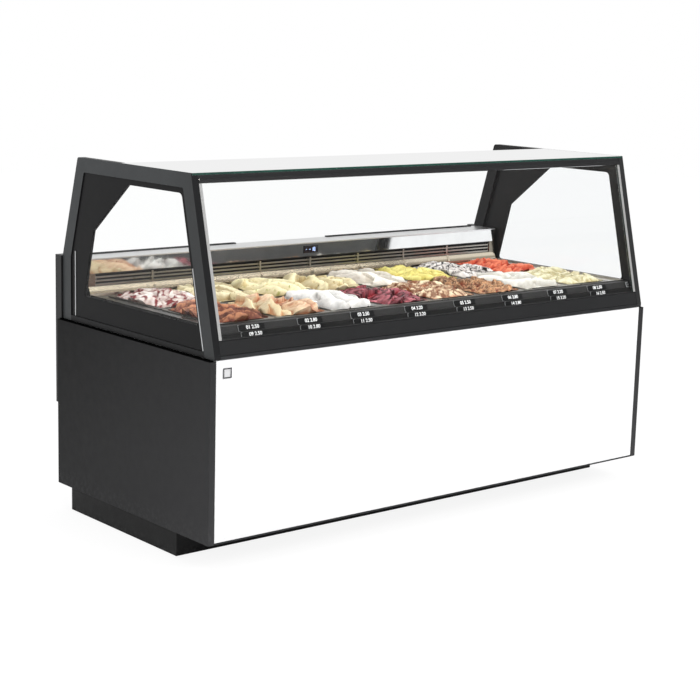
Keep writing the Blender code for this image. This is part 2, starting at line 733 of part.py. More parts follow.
def build_condenser():
    """Coil, fan shroud with its motor on an arm, and the fan."""
    x0, x1, height = 0.700, 1.080, 0.300
    coil = comb((x0, x1, DECK_Z, DECK_Z + height), 26, 0.005, 0.014)
    outline("condenser_coil", [coil], 0.880, 0.940, "xz", "coil_fins")

    x, z = (x0 + x1) / 2, DECK_Z + height / 2
    margin = 0.010       # shroud beyond the coil
    arm_x, arm_z = 0.140, 0.008    # half sizes
    mat = "galvanised_steel"
    plate = rect(x0 - margin, x1 + margin, DECK_Z, DECK_Z + height + margin)
    loops = [plate, circle(x, z, 0.130, 32)]
    shroud = outline("condenser_fan_shroud", loops, 0.8720, 0.8780, "xz", mat)
    lo, hi = (x - arm_x, 0.8660, z - arm_z), (x + arm_x, 0.8760, z + arm_z)
    join_box(shroud, "motor_arm", lo, hi, mat)
    join(shroud, cylinder("motor", 0.032, 0.022, (x, 0.8640, z), "Y", mat, 20, HELPERS))
    fan("condenser_fan", 0.120, 0.034, 0.026, (x, 0.8380, z), math.radians(24))


def build_evaporator(liner):
    """Coil and fan; the fan's motor stands on the floor of the liner."""
    x, z = MID_X, 0.6720
    coil = comb((0.420, 1.820, 0.6200, 0.7150), 40, 0.006, 0.012)
    outline("evaporator_coil", [coil], 0.3600, 0.6000, "xz", "coil_fins")
    lo, hi = (x - 0.010, 0.6800, 0.6158), (x + 0.010, 0.7000, z)
    join_box(liner, "evap_post", lo, hi, "stainless")
    centre = (x, 0.6950, z)
    join(liner, cylinder("evap_motor", 0.022, 0.040, centre, "Y", "stainless", 16, HELPERS))
    fan("evaporator_fan", 0.048, 0.016, 0.018, (x, 0.7300, z), math.radians(26))


# ------------------------------------------------------------------ supply cable
def build_cable():
    """Cable out of the gland, bent down behind the cabinet, then left along the floor."""
    curve = bpy.data.curves.new("power_cable", "CURVE")
    curve.dimensions = "3D"
    curve.bevel_depth = 0.0045
    curve.bevel_resolution = 2
    curve.use_fill_caps = True
    curve.resolution_u = 1

    bend_y, bend_r = 1.0120, 0.0150      # start and radius of the bend down
    run_y = bend_y + bend_r
    floor_r, floor_z = 0.060, 0.0053     # bend along the floor, and the run's height
    points = [(CABLE_X, 0.9900, CABLE_Z)]
    for i in range(7):
        t = math.pi / 2 * i / 6
        y = bend_y + bend_r * math.sin(t)
        points.append((CABLE_X, y, CABLE_Z - bend_r * (1 - math.cos(t))))
    for i in range(9):
        t = math.pi / 2 * i / 8
        x = CABLE_X - floor_r * (1 - math.cos(t))
        points.append((x, run_y, floor_z + floor_r * (1 - math.sin(t))))
    points.append((1.7600, run_y, floor_z))
    add_poly_spline(curve, [place(*point) for point in points])
    ob = bpy.data.objects.new("power_cable", curve)
    link(ob, "cable_rubber", PARTS)
    ob = bake(ob)
    lo, hi = (1.7100, 1.0090, 0.0003), (1.7640, 1.0440, 0.0330)
    join_box(ob, "plug", lo, hi, "cable_rubber", 0.004, 2)


# ------------------------------------------------------------------ build
build_plinth()
build_feet()
build_body()
build_front_rails()
tub_liner = build_tub()
build_pan_deck()
build_pans()
build_end_frames()
build_shelf()
build_front_glass()
build_worktop()
build_display()
build_air_outlet()
build_back_panel()
build_service_grille()
build_compressor()
build_condenser()
build_evaporator(tub_liner)
build_cable()
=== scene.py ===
"""Ice-cream display cabinet: two rows of eight filled pans under a leaning front glass.

The CAD pieces come from model.glb. This script gives them materials, adds modelled details
and ice cream, and sets the stage. Lengths are metres in cabinet coordinates: x from the left
outer face, y from the customer's front plane towards the server's side, z up from the floor.
In the scene the origin lies on the floor under the cabinet's middle.
"""
import math
from collections import namedtuple
from types import SimpleNamespace
import bmesh
import bpy
import numpy as np
from mathutils import Matrix, Vector


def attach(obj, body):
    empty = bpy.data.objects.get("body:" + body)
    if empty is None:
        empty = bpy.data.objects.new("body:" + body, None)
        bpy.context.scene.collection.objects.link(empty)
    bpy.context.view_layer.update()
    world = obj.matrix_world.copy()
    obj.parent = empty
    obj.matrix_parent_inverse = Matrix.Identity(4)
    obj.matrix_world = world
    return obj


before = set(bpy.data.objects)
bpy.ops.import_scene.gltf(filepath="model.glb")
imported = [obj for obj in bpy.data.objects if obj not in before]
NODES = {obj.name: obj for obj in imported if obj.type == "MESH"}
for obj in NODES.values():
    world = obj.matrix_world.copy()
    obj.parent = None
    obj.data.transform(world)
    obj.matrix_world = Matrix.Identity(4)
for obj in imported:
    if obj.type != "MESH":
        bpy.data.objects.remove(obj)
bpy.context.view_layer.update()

WIDTH, DEPTH, HEIGHT = 2.240, 1.045, 1.375
CENTRE_X, CENTRE_Y = WIDTH / 2, DEPTH / 2
LEAN, LEAN_Z0 = 0.2443, 0.765          # front glass: run per rise, and the height where y is 0
LEAN_ANGLE = math.atan(LEAN)
HINGE_Z = 1.3525
PAN_COUNT = 8                          # per row
PAN_PITCH, PAN_TOP = 0.2534, 0.855
PAN_X0 = (WIDTH - PAN_PITCH * PAN_COUNT) / 2 + PAN_PITCH / 2
ROW_Y = {"front": 0.283, "back": 0.649}


def point(x, y, z):
    """Scene position of a point in cabinet coordinates."""
    return Vector((x - CENTRE_X, y - CENTRE_Y, z))


def front_y(z):
    """Depth of the leaning front at a height."""
    return LEAN * (z - LEAN_Z0)


# ------------------------------------------------------------------ numpy noise for surfaces
def gradient_noise(x, y, seed):
    """Smooth gradient noise, about -0.7 to 0.7."""
    x, y = np.asarray(x, float), np.asarray(y, float)
    cell_x, cell_y = np.floor(x).astype(np.int64), np.floor(y).astype(np.int64)
    frac_x, frac_y = x - cell_x, y - cell_y

    def corner(step_x, step_y):
        """Slope of one cell corner, hashed from its place, times the offset from it."""
        ix, iy = cell_x + step_x, cell_y + step_y
        code = (ix * 374761393 + iy * 668265263 + seed * 974634777) & 0xFFFFFFFF
        code = ((code ^ (code >> 13)) * 1274126177) & 0xFFFFFFFF
        code = code ^ (code >> 16)
        angle = (code & 0xFFFF) / 65536.0 * 2 * np.pi
        return np.cos(angle) * (frac_x - step_x) + np.sin(angle) * (frac_y - step_y)

    def ease(t):
        return t**3 * (t * (t * 6 - 15) + 10)

    u, v = ease(frac_x), ease(frac_y)
    c00, c10, c01, c11 = corner(0, 0), corner(1, 0), corner(0, 1), corner(1, 1)
    return (c00 + (c10 - c00) * u) * (1 - v) + (c01 + (c11 - c01) * u) * v


def fractal(x, y, seed, octaves=4):
    """Layered noise, each octave half as strong."""
    total, strength, scale = 0.0, 1.0, 1.0
    for i in range(octaves):
        total = total + strength * gradient_noise(x * scale, y * scale, seed + 17 * i)
        strength *= 0.5
        scale *= 2.03
    return total


def ridged(x, y, seed, octaves=3):
    """Layered noise with sharp crests."""
    total, strength, scale = 0.0, 1.0, 1.0
    for i in range(octaves):
        layer = gradient_noise(x * scale, y * scale, seed + 29 * i)
        total = total + strength * (1 - np.abs(layer) * 2.2)
        strength *= 0.5
        scale *= 2.1
    return total / 1.75


def smooth(start, end, x):
    """Smooth step from 0 at start to 1 at end."""
    t = np.clip((x - start) / (end - start), 0, 1)
    return t * t * (3 - 2 * t)


# ------------------------------------------------------------------ mesh builder
def aim(axis):
    """Rotation that turns +Z to an axis."""
    return Vector((0, 0, 1)).rotation_difference(Vector(axis)).to_matrix()


def make_bmesh(verts, faces):
    bm = bmesh.new()
    made = [bm.verts.new(v) for v in verts]
    for face in faces:
        bm.faces.new([made[i] for i in face])
    return bm


def bevel_edges(bm, edges, width, segments, **options):
    bmesh.ops.bevel(bm, geom=list(edges), offset=width, segments=segments, affect="EDGES",
                    **options)


class Build:
    """Collects shapes into one mesh object that rides on one body.

    A slot is an index into the materials.
    """

    def __init__(self, name, *materials, body="cabinet"):
        self.name, self.body = name, body
        self.materials = [MAT[key] for key in materials]
        self.verts, self.faces, self.slots, self.smooth = [], [], [], []

    def add(self, verts, faces, slot=0, smoothed=False):
        first = len(self.verts)
        self.verts += [tuple(v) for v in verts]
        for face in faces:
            self.faces.append(tuple(i + first for i in face))
            self.slots.append(slot)
            self.smooth.append(smoothed)

    def add_bmesh(self, bm, slot=0, smoothed=False, matrix=None):
        bmesh.ops.recalc_face_normals(bm, faces=bm.faces)
        bm.verts.index_update()
        verts = [(matrix @ v.co) if matrix else v.co.copy() for v in bm.verts]
        self.add(verts, [[v.index for v in face.verts] for face in bm.faces], slot, smoothed)
        bm.free()

    def block(self, size, matrix, slot=0, bevel=0.0, segments=1, smoothed=False, **options):
        """A box of a size about the matrix's origin."""
        bm = bmesh.new()
        bmesh.ops.create_cube(bm, size=1.0)
        bmesh.ops.scale(bm, vec=size, verts=bm.verts)
        if bevel:
            bevel_edges(bm, bm.edges, bevel, segments, **options)
        self.add_bmesh(bm, slot, smoothed, matrix)

    def box(self, low, high, slot=0, bevel=0.0, segments=2, tilt=0.0):
        """A box between two corners; tilt is in degrees about x through its middle."""
        a, b = point(*low), point(*high)
        matrix = Matrix.Translation((a + b) / 2) @ Matrix.Rotation(math.radians(tilt), 4, "X")
        self.block(b - a, matrix, slot, bevel, segments, bool(bevel), profile=0.5)

    def cone(self, matrix, radius, top_radius, length, sides, bevel=0.0, slot=0):
        bm = bmesh.new()
        bmesh.ops.create_cone(bm, cap_ends=True, segments=sides, radius1=radius,
                              radius2=top_radius, depth=length)
        if bevel:
            rim = [e for e in bm.edges if abs(e.verts[0].co.z - e.verts[1].co.z) < 1e-6]
            bevel_edges(bm, rim, bevel, 2, profile=0.5)
        self.add_bmesh(bm, slot, True, matrix)

    def rod(self, centre, axis, radius, length, sides, bevel=0.0):
        matrix = Matrix.Translation(point(*centre)) @ aim(axis).to_4x4()
        self.cone(matrix, radius, radius, length, sides, bevel)

    def tube(self, path, radius, sides=10, closed=False):
        """A round bar along a path."""
        points = [point(*p) for p in path]
        count = len(points)
        verts, faces = [], []
        up = None
        for i, middle in enumerate(points):
            before = points[i - 1] if closed or i else middle
            after = points[(i + 1) % count] if closed or i < count - 1 else middle
            along = (after - before).normalized()
            if up is None:
                up = along.orthogonal().normalized()
            up = (up - along * up.dot(along)).normalized()
            side = along.cross(up)
            for k in range(sides):
                t = 2 * math.pi * k / sides
                verts.append(middle + (up * math.cos(t) + side * math.sin(t)) * radius)
        for i in range(count if closed else count - 1):
            a, b = i * sides, (i + 1) % count * sides
            for k in range(sides):
                after = (k + 1) % sides
                faces.append((a + k, a + after, b + after, b + k))
        if not closed:
            faces.append(tuple(reversed(range(sides))))
            faces.append(tuple(range((count - 1) * sides, count * sides)))
        self.add_bmesh(make_bmesh(verts, faces), 0, True)

    def prism(self, outline, x0, x1, bevel=0.0):
        """A (y, z) outline pulled from x0 to x1."""
        n = len(outline)
        verts = [point(x, y, z) for x in (x0, x1) for y, z in outline]
        faces = [range(n), range(2 * n - 1, n - 1, -1)]
        for i in range(n):
            j = (i + 1) % n
            faces.append((i, n + i, n + j, j))
        bm = make_bmesh(verts, faces)
        bmesh.ops.recalc_face_normals(bm, faces=bm.faces)
        if bevel:
            bevel_edges(bm, bm.edges, bevel, 2, profile=0.5)
        self.add_bmesh(bm, 0, bool(bevel))

    def ring(self, outer, inner, start, end, place, slot=0):
        """A flat ring between two loops of equal count, pulled from start to end.

        place(u, v, t) gives the scene position of loop point (u, v) at pull t.
        """
        n = len(outer)
        verts = [place(u, v, t) for t in (start, end) for loop in (outer, inner) for u, v in loop]
        faces = []
        for i in range(n):
            j = (i + 1) % n
            faces.append((i, j, n + j, n + i))
            faces.append((2 * n + i, 3 * n + i, 3 * n + j, 2 * n + j))
            faces.append((i, 2 * n + i, 2 * n + j, j))
            faces.append((n + i, n + j, 3 * n + j, 3 * n + i))
        self.add_bmesh(make_bmesh(verts, faces), slot)

    def lathe(self, profile, centre, axis, sides):
        """A closed turned shape; profile is (radius, height) from one pole to the other."""
        turn, base = aim(axis), point(*centre)
        verts, faces, rows = [], [], []
        for radius, height in profile:
            count = sides if radius else 1
            rows.append(list(range(len(verts), len(verts) + count)))
            for k in range(count):
                t = 2 * math.pi * k / sides
                offset = Vector((radius * math.cos(t), radius * math.sin(t), height))
                verts.append(base + turn @ offset)
        for low, high in zip(rows, rows[1:]):
            for k in range(sides):
                after = (k + 1) % sides
                if len(low) == 1:
                    faces.append((low[0], high[k], high[after]))
                elif len(high) == 1:
                    faces.append((low[k], high[0], low[after]))
                else:
                    faces.append((low[k], high[k], high[after], low[after]))
        self.add_bmesh(make_bmesh(verts, faces), 0, True)

    def screw(self, place, normal, radius):
        """Low domed head in slot 0 with a cross in slot 1."""
        # radius and height, as shares of the head's radius
        dome = ((0, 0), (1, 0), (1, 0.16), (0.82, 0.42), (0.45, 0.56), (0, 0.60))
        self.lathe([(r * radius, h * radius) for r, h in dome], place, normal, 18)
        top = Matrix.Translation(point(*place) + Vector(normal) * (radius * 0.58))
        for degrees in (35, 125):
            turn = aim(normal) @ Matrix.Rotation(math.radians(degrees), 3, "Z")
            self.block((radius * 1.1, radius * 0.22, radius * 0.14), top @ turn.to_4x4(), 1)

    def done(self):
        me = bpy.data.meshes.new(self.name)
        me.from_pydata(self.verts, [], self.faces)
        for material in self.materials:
            me.materials.append(material)
        me.polygons.foreach_set("material_index", self.slots)
        me.polygons.foreach_set("use_smooth", self.smooth)
        me.update()
        me.set_sharp_from_angle(angle=math.radians(35.0))
        ob = bpy.data.objects.new(self.name, me)
        bpy.context.scene.collection.objects.link(ob)
        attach(ob, self.body)


def rounded_loop(corners, radii, segments):
    """A closed outline with its corners rounded."""
    loop = []
    n = len(corners)
    for i, radius in enumerate(radii):
        corner = Vector(corners[i])
        to_last = (Vector(corners[i - 1]) - corner).normalized()
        to_next = (Vector(corners[(i + 1) % n]) - corner).normalized()
        half = to_last.angle(to_next) / 2
        reach = radius / math.tan(half)
        centre = corner + (to_last + to_next).normalized() * (radius / math.sin(half))
        start, end = corner + to_last * reach, corner + to_next * reach
        a0 = math.atan2(start.y - centre.y, start.x - centre.x)
        a1 = math.atan2(end.y - centre.y, end.x - centre.x)
        while a1 - a0 > math.pi:
            a1 -= 2 * math.pi
        while a1 - a0 < -math.pi:
            a1 += 2 * math.pi
        for k in range(segments + 1):
            t = a0 + (a1 - a0) * k / segments
            loop.append((centre.x + radius * math.cos(t), centre.y + radius * math.sin(t)))
    return loop


# ------------------------------------------------------------------ shader graphs
class Graph:
    """A cleared node tree with short helpers."""

    INPUTS = {
        "base": "Base Color", "metal": "Metallic", "rough": "Roughness", "normal": "Normal",
        "coat": "Coat Weight", "coat_rough": "Coat Roughness", "spec": "Specular IOR Level",
        "emit": "Emission Color", "emit_strength": "Emission Strength",
        "sss": "Subsurface Weight", "sss_r": "Subsurface Radius",
        "sss_scale": "Subsurface Scale",
    }

    def __init__(self, owner, output):
        owner.use_nodes = True
        self.tree = owner.node_tree
        self.tree.nodes.clear()
        self.out = self.tree.nodes.new(output)
        self._coords = None

    def node(self, kind, inputs=None, **props):
        node = self.tree.nodes.new(kind)
        for key, value in props.items():
            setattr(node, key, value)
        for key, value in (inputs or {}).items():
            self.set(node.inputs[key], value)
        return node

    def set(self, socket, value):
        if isinstance(value, bpy.types.NodeSocket):
            self.tree.links.new(value, socket)
        elif isinstance(value, (tuple, list)) and len(value) == 3 and socket.type == "RGBA":
            socket.default_value = (*value, 1.0)
        else:
            socket.default_value = value

    @property
    def coords(self):
        if self._coords is None:
            self._coords = self.node("ShaderNodeTexCoord").outputs["Object"]
        return self._coords

    def scaled(self, scale, turn=(0, 0, 0)):
        inputs = {"Vector": self.coords, "Scale": scale, "Rotation": turn}
        return self.node("ShaderNodeMapping", inputs).outputs[0]

    def noise(self, scale, detail=3.0, rough=0.55, vec=None, distort=0.0):
        inputs = {"Vector": vec or self.coords, "Scale": scale, "Detail": detail,
                  "Roughness": rough, "Distortion": distort}
        return self.node("ShaderNodeTexNoise", inputs).outputs["Fac"]

    def remap(self, value, low=0.0, high=1.0, start=0.3, end=0.7, kind="LINEAR"):
        """start..end to low..high; noise mostly lies between 0.3 and 0.7."""
        inputs = {"Value": value, "From Min": start, "From Max": end, "To Min": low,
                  "To Max": high}
        return self.node("ShaderNodeMapRange", inputs, interpolation_type=kind).outputs[0]

    def fade(self, value, start, end, low=0.0, high=1.0):
        """Smooth step from low at start to high at end."""
        return self.remap(value, low, high, start, end, kind="SMOOTHSTEP")

    def math(self, op, a, b=0.0, clamp=False):
        return self.node("ShaderNodeMath", {0: a, 1: b}, operation=op, use_clamp=clamp).outputs[0]

    def plus(self, a, b, clamp=False):
        return self.math("ADD", a, b, clamp)

    def times(self, a, b, clamp=False):
        return self.math("MULTIPLY", a, b, clamp)

    def invert(self, a, clamp=False):
        return self.math("SUBTRACT", 1.0, a, clamp)

    def above(self, a, limit):
        return self.math("GREATER_THAN", a, limit)

    def below(self, a, limit):
        return self.math("LESS_THAN", a, limit)

    def vector(self, op, a, b=None):
        inputs = {0: a} if b is None else {0: a, 1: b}
        return self.node("ShaderNodeVectorMath", inputs, operation=op).outputs

    def mix(self, share, a, b, blend="MIX"):
        inputs = {0: share, 6: a, 7: b}
        return self.node("ShaderNodeMix", inputs, data_type="RGBA", blend_type=blend).outputs[2]

    def blotch(self, noise, a, b):
        """Drifts from a to b with a noise."""
        return self.mix(self.remap(noise), a, b)

    def tint(self, base, colour):
        return self.mix(1.0, base, colour, "MULTIPLY")

    def xyz(self, vec=None):
        return self.node("ShaderNodeSeparateXYZ", {"Vector": vec or self.coords}).outputs

    def bump(self, height, strength, distance, normal=None):
        inputs = {"Height": height, "Strength": strength, "Distance": distance}
        if normal is not None:
            inputs["Normal"] = normal
        return self.node("ShaderNodeBump", inputs).outputs[0]

    def geometry(self):
        return self.node("ShaderNodeNewGeometry").outputs

    def light_path(self):
        return self.node("ShaderNodeLightPath").outputs

    def mix_shader(self, share, a, b):
        return self.node("ShaderNodeMixShader", {0: share, 1: a, 2: b}).outputs[0]

    def bsdf(self, **inputs):
        named = {self.INPUTS[key]: value for key, value in inputs.items()}
        return self.node("ShaderNodeBsdfPrincipled", named).outputs[0]


class Mat(Graph):
    """A node material."""

    def __init__(self, name):
        self.material = bpy.data.materials.new(name)
        super().__init__(self.material, "ShaderNodeOutputMaterial")

    def finish(self, shader):
        self.set(self.out.inputs["Surface"], shader)
        return self.material

    def principled(self, **inputs):
        return self.finish(self.bsdf(**inputs))


def shade(colour, factor):
    return tuple(min(1.0, x * factor) for x in colour)


# ------------------------------------------------------------------ paints and plastics
def painted(name, colour, rough, grain, bump, variation, spec=0.5, scuff=0.0, coat=0.0,
            dust_z=None, painted_light_gain=None, painted_shade_below=None):
    """Powder coat, laminate or lacquer: grain, colour drift, uneven gloss, rubbed places.

    dust_z is the height span over which dust fades out; painted_light_gain is the gain of painted
    light towards the front and the floor, with painted shade on the top faces;
    painted_shade_below is (height, factor) and darkens the paint below that height as painted
    shade.
    """
    m = Mat(name)
    slow = m.noise(1.7, detail=4.0, rough=0.6)
    fine = m.noise(grain, detail=2.0, rough=0.5)
    mid = m.noise(26.0, detail=5.0, rough=0.65)
    base = m.blotch(slow, shade(colour, 1 - variation), shade(colour, 1 + variation))
    base = m.mix(m.remap(fine, 0, 0.18, 0.35, 0.65), base, shade(colour, 1.35))
    if painted_light_gain:
        # painted light: the paint grows lighter towards the front and the floor
        xyz = m.xyz()
        share = m.plus(m.remap(xyz[1], low=0.60, high=0.0, start=-0.50, end=0.49),
                       m.remap(xyz[2], low=0.45, high=0.0, start=0.10, end=0.75), clamp=True)
        base = m.mix(share, base, shade(colour, painted_light_gain))
    if painted_shade_below:
        # painted shade: darker below the given height
        base = m.mix(m.below(m.xyz()[2], painted_shade_below[0]), base, shade(colour, painted_shade_below[1]))
    gloss = m.remap(mid, rough - 0.045, rough + 0.055)
    stretched = m.scaled((1.0, 1.0, 34.0), turn=(0.35, 0.2, 0.5))
    streaks = m.noise(9.0, rough=0.6, vec=stretched)
    marks = m.fade(streaks, 0.66, 0.72, high=scuff)
    if dust_z is not None:
        low = m.fade(m.xyz()[2], *dust_z, low=1.0, high=0.0)
        dust = m.times(low, m.fade(m.noise(60.0, detail=6.0, rough=0.7), 0.42, 0.66))
        marks = m.plus(marks, m.times(dust, 0.22), clamp=True)
    base = m.mix(marks, base, shade(tuple(x + 0.05 for x in colour), 1.6))
    gloss = m.plus(gloss, m.times(marks, 0.18), clamp=True)
    normal = m.bump(fine, bump, distance=0.0003)
    normal = m.bump(mid, bump * 0.35, distance=0.0008, normal=normal)
    if painted_light_gain:
        # painted shade: the top faces are painted dark and without sheen, for the dark gap under
        # the end frames
        up = m.above(m.xyz(m.geometry()["True Normal"])[2], 0.7)
        base = m.mix(up, base, shade(colour, 0.35))
        spec = m.times(m.invert(up), spec)
    return m.principled(base=base, rough=gloss, normal=normal, spec=spec, coat=coat,
                        coat_rough=0.12)


# key: name, colour, roughness, grain scale, bump, colour variation, specular, scuffs, coat
PAINTS = {
    "side_panel": ("laminate_dark_grey", (0.0075, 0.0075, 0.0078), 0.52, 1300, 0.08, 0.08, 0.08,
                   0.02),
    "plinth": ("powder_coat_black", (0.0120, 0.0120, 0.0122), 0.52, 1500, 0.14, 0.10, 0.18, 0.06),
    "frame_dark": ("powder_coat_dark", (0.0125, 0.0127, 0.0134), 0.42, 1600, 0.12, 0.06, 0.28,
                   0.02),
    "rail": ("rail_satin_charcoal", (0.0300, 0.0292, 0.0290), 0.50, 1500, 0.08, 0.04, 0.14, 0.01),
    "white": ("lacquer_white", (0.74, 0.742, 0.746), 0.26, 1100, 0.03, 0.012, 0.5, 0.012, 0.15),
    "plastic": ("plastic_satin_black", (0.0130, 0.0130, 0.0135), 0.40, 2200, 0.12, 0.10, 0.45,
                0.04),
    "switch": ("plastic_gloss_black", (0.012, 0.012, 0.013), 0.18, 1800, 0.03, 0.08, 0.5, 0.03),
    "rubber": ("rubber_black", (0.017, 0.017, 0.0175), 0.68, 2600, 0.20, 0.15, 0.3, 0.06),
    "grille": ("powder_coat_grille", (0.020, 0.020, 0.021), 0.48, 1700, 0.18, 0.10, 0.45, 0.05),
    "enamel": ("enamel_compressor", (0.012, 0.012, 0.0125), 0.22, 300, 0.05, 0.15, 0.5, 0.08,
               0.3),
    "shell": ("foam_shell_grey", (0.52, 0.53, 0.54), 0.55, 500, 0.15, 0.06, 0.4, 0.05),
    "print": ("ceramic_print_black", (0.0075, 0.0075, 0.0080), 0.34, 1800, 0.02, 0.06, 0.09,
              0.01),
    # painted light: print_in is a lighter copy of the same ceramic print, for the inner face lit
    # inside the case
    "print_in": ("ceramic_print_inside", (0.0230, 0.0230, 0.0236), 0.40, 1800, 0.02, 0.06, 0.12,
                 0.01),
    "card": ("card_black", (0.0050, 0.0050, 0.0054), 0.50, 2600, 0.05, 0.08, 0.20, 0.01),
    "ink": ("ink_white", (0.88, 0.88, 0.88), 0.50, 2000, 0.02, 0.02, 0.4),
    "clip": ("clip_frosted", (0.30, 0.305, 0.31), 0.30, 1500, 0.04, 0.05, 0.5),
    "screw_black": ("screw_black", (0.020, 0.020, 0.021), 0.32, 1500, 0.10, 0.12, 0.5),
}
# side panels: painted light towards the front and floor, painted shade on top faces; rail:
# painted shade on its lower face
PAINT_OPTIONS = {
    "side_panel": {"dust_z": (0.10, 0.20), "painted_light_gain": 4.9},
    "plinth": {"dust_z": (0.0, 0.055)},
    "rail": {"painted_shade_below": (0.8327, 0.42)},
}
MAT = {key: painted(*row, **PAINT_OPTIONS.get(key, {})) for key, row in PAINTS.items()}


def end_frame_paint(name, outward):
    """Anthracite outside on posts and top bar, near-black elsewhere. Painted shade keeps the
    bottom bar near-black outside and darkens the outside towards the front; painted light
    lightens the faces that do not face outwards.

    outward is the sign of x on the outer face.
    """
    m = Mat(name)
    normal_x = m.xyz(m.geometry()["True Normal"])[0]
    side = m.above(m.times(normal_x, outward), 0.5)
    _, y, z = m.xyz()
    y = m.plus(y, CENTRE_Y)
    # painted shade: the bottom bar, between the leaning front post and the rear post, stays
    # near-black outside for the dark gap above the side panel
    post_edge = m.plus(m.times(m.math("SUBTRACT", z, LEAN_Z0), LEAN), 0.060)
    bar = m.times(m.below(z, 0.7735), m.above(y, post_edge))
    bar = m.times(bar, m.below(y, 0.942))
    light = m.times(side, m.invert(bar))
    fine = m.noise(1600.0, detail=2.0, rough=0.5)
    slow = m.noise(1.7, detail=4.0, rough=0.6)
    mid = m.noise(26.0, detail=5.0, rough=0.65)
    pale = m.blotch(slow, (0.028, 0.031, 0.033), (0.034, 0.037, 0.039))
    dark = m.blotch(slow, (0.0080, 0.0082, 0.0088), (0.0098, 0.0100, 0.0107))
    # painted light: a lighter near-black on the inner faces of the left frame and on all but the
    # outer faces of the right one
    inner = m.below(m.times(normal_x, outward), -0.5 if outward < 0 else 0.5)
    dark = m.mix(inner, dark, (0.0200, 0.0202, 0.0208))
    # painted shade: the outside darkens towards the front
    pale = m.mix(m.fade(y, 0.12, 0.34, low=1.0, high=0.0), pale,
                 m.tint(pale, (0.74, 0.74, 0.74)))
    base = m.mix(light, dark, pale)
    base = m.mix(m.remap(fine, 0, 0.14, 0.35, 0.65), base, m.tint(base, (1.5, 1.5, 1.5)))
    grain = m.bump(fine, strength=0.14, distance=0.0003)
    return m.principled(base=base, rough=m.remap(mid, 0.38, 0.48),
                        spec=m.remap(light, 0.16, 0.30, start=0.0, end=1.0),
                        normal=m.bump(mid, strength=0.05, distance=0.0008, normal=grain))


# ------------------------------------------------------------------ metals
def brushed(name, colour, rough, stretch, bump, variation, smudge):
    """Metal with its grain along one axis, uneven polish and faint smudges."""
    m = Mat(name)
    grain = m.noise(1.6, detail=5.0, rough=0.7, vec=m.scaled(tuple(a * 8.0 for a in stretch)))
    wide = m.noise(3.0, vec=m.scaled(tuple(max(1.0, a / 9) for a in stretch)))
    smear = m.noise(7.0, detail=5.0, rough=0.65, distort=0.8)
    base = m.blotch(grain, shade(colour, 1 - variation), shade(colour, 1 + variation * 0.6))
    base = m.mix(m.fade(smear, 0.50, 0.72, high=smudge), base, shade(colour, 0.80))
    gloss = m.plus(m.remap(wide, rough - 0.05, rough + 0.06),
                   m.fade(smear, 0.48, 0.70, high=smudge), clamp=True)
    return m.principled(base=base, metal=1.0, rough=gloss,
                        normal=m.bump(grain, bump, distance=0.0003))


# key: name, colour, roughness, grain stretch, bump, colour variation, smudges
METALS = {
    "trim": ("trim_anodised_grey", (0.050, 0.051, 0.053), 0.42, (1, 50, 50), 0.06, 0.08, 0.06),
    "steel": ("steel_brushed", (0.66, 0.64, 0.60), 0.27, (1, 40, 40), 0.025, 0.06, 0.10),
    # painted reflection: this steel is tinted warm for the ice cream and warm light it reflects
    "steel_warm_reflection": ("steel_ledge", (0.49, 0.42, 0.32), 0.20, (1, 22, 22), 0.015, 0.05, 0.06),
    "steel_bars": ("steel_louvre_bars", (0.40, 0.375, 0.34), 0.30, (1, 60, 60), 0.08, 0.10,
                   0.08),
    "steel_top": ("steel_satin_top", (0.74, 0.74, 0.74), 0.36, (1, 60, 60), 0.08, 0.06, 0.10),
    "alu": ("aluminium_satin", (0.62, 0.63, 0.635), 0.34, (1.5, 40, 40), 0.05, 0.05, 0.05),
    "badge_ring": ("badge_ring_dark", (0.10, 0.10, 0.105), 0.25, (30, 30, 30), 0.05, 0.10, 0.10),
    "badge_face": ("badge_face_satin", (0.80, 0.80, 0.81), 0.42, (1, 60, 60), 0.05, 0.06, 0.06),
    "screw": ("screw_zinc", (0.50, 0.50, 0.49), 0.30, (30, 30, 30), 0.08, 0.10, 0.15),
}
MAT.update({key: brushed(*row) for key, row in METALS.items()})


def pan_steel():
    """Deep-drawn pan: bright brushed walls, the rolled rim painted dark as painted shade where
    the ice cream meets it.
    """
    m = Mat("steel_bright_pan")
    grain = m.noise(1.6, detail=5.0, rough=0.7, vec=m.scaled((240.0, 12.0, 240.0)))
    smear = m.noise(9.0, detail=5.0, rough=0.65, distort=0.8)
    rim = m.fade(m.xyz()[2], PAN_TOP - 0.0045, PAN_TOP - 0.0015)
    wall = m.blotch(grain, (0.64, 0.63, 0.60), (0.73, 0.72, 0.69))
    # painted shade: the rim is painted dark for the shadow gap round the ice cream
    rim_shade = m.mix(m.remap(smear, 0, 1, 0.35, 0.65), (0.15, 0.135, 0.115), (0.24, 0.22, 0.19))
    base = m.mix(rim, wall, rim_shade)
    rough = m.plus(m.remap(smear, 0.17, 0.30), m.times(rim, 0.10))
    return m.principled(base=base, metal=1.0, rough=rough,
                        normal=m.bump(grain, strength=0.03, distance=0.0002))


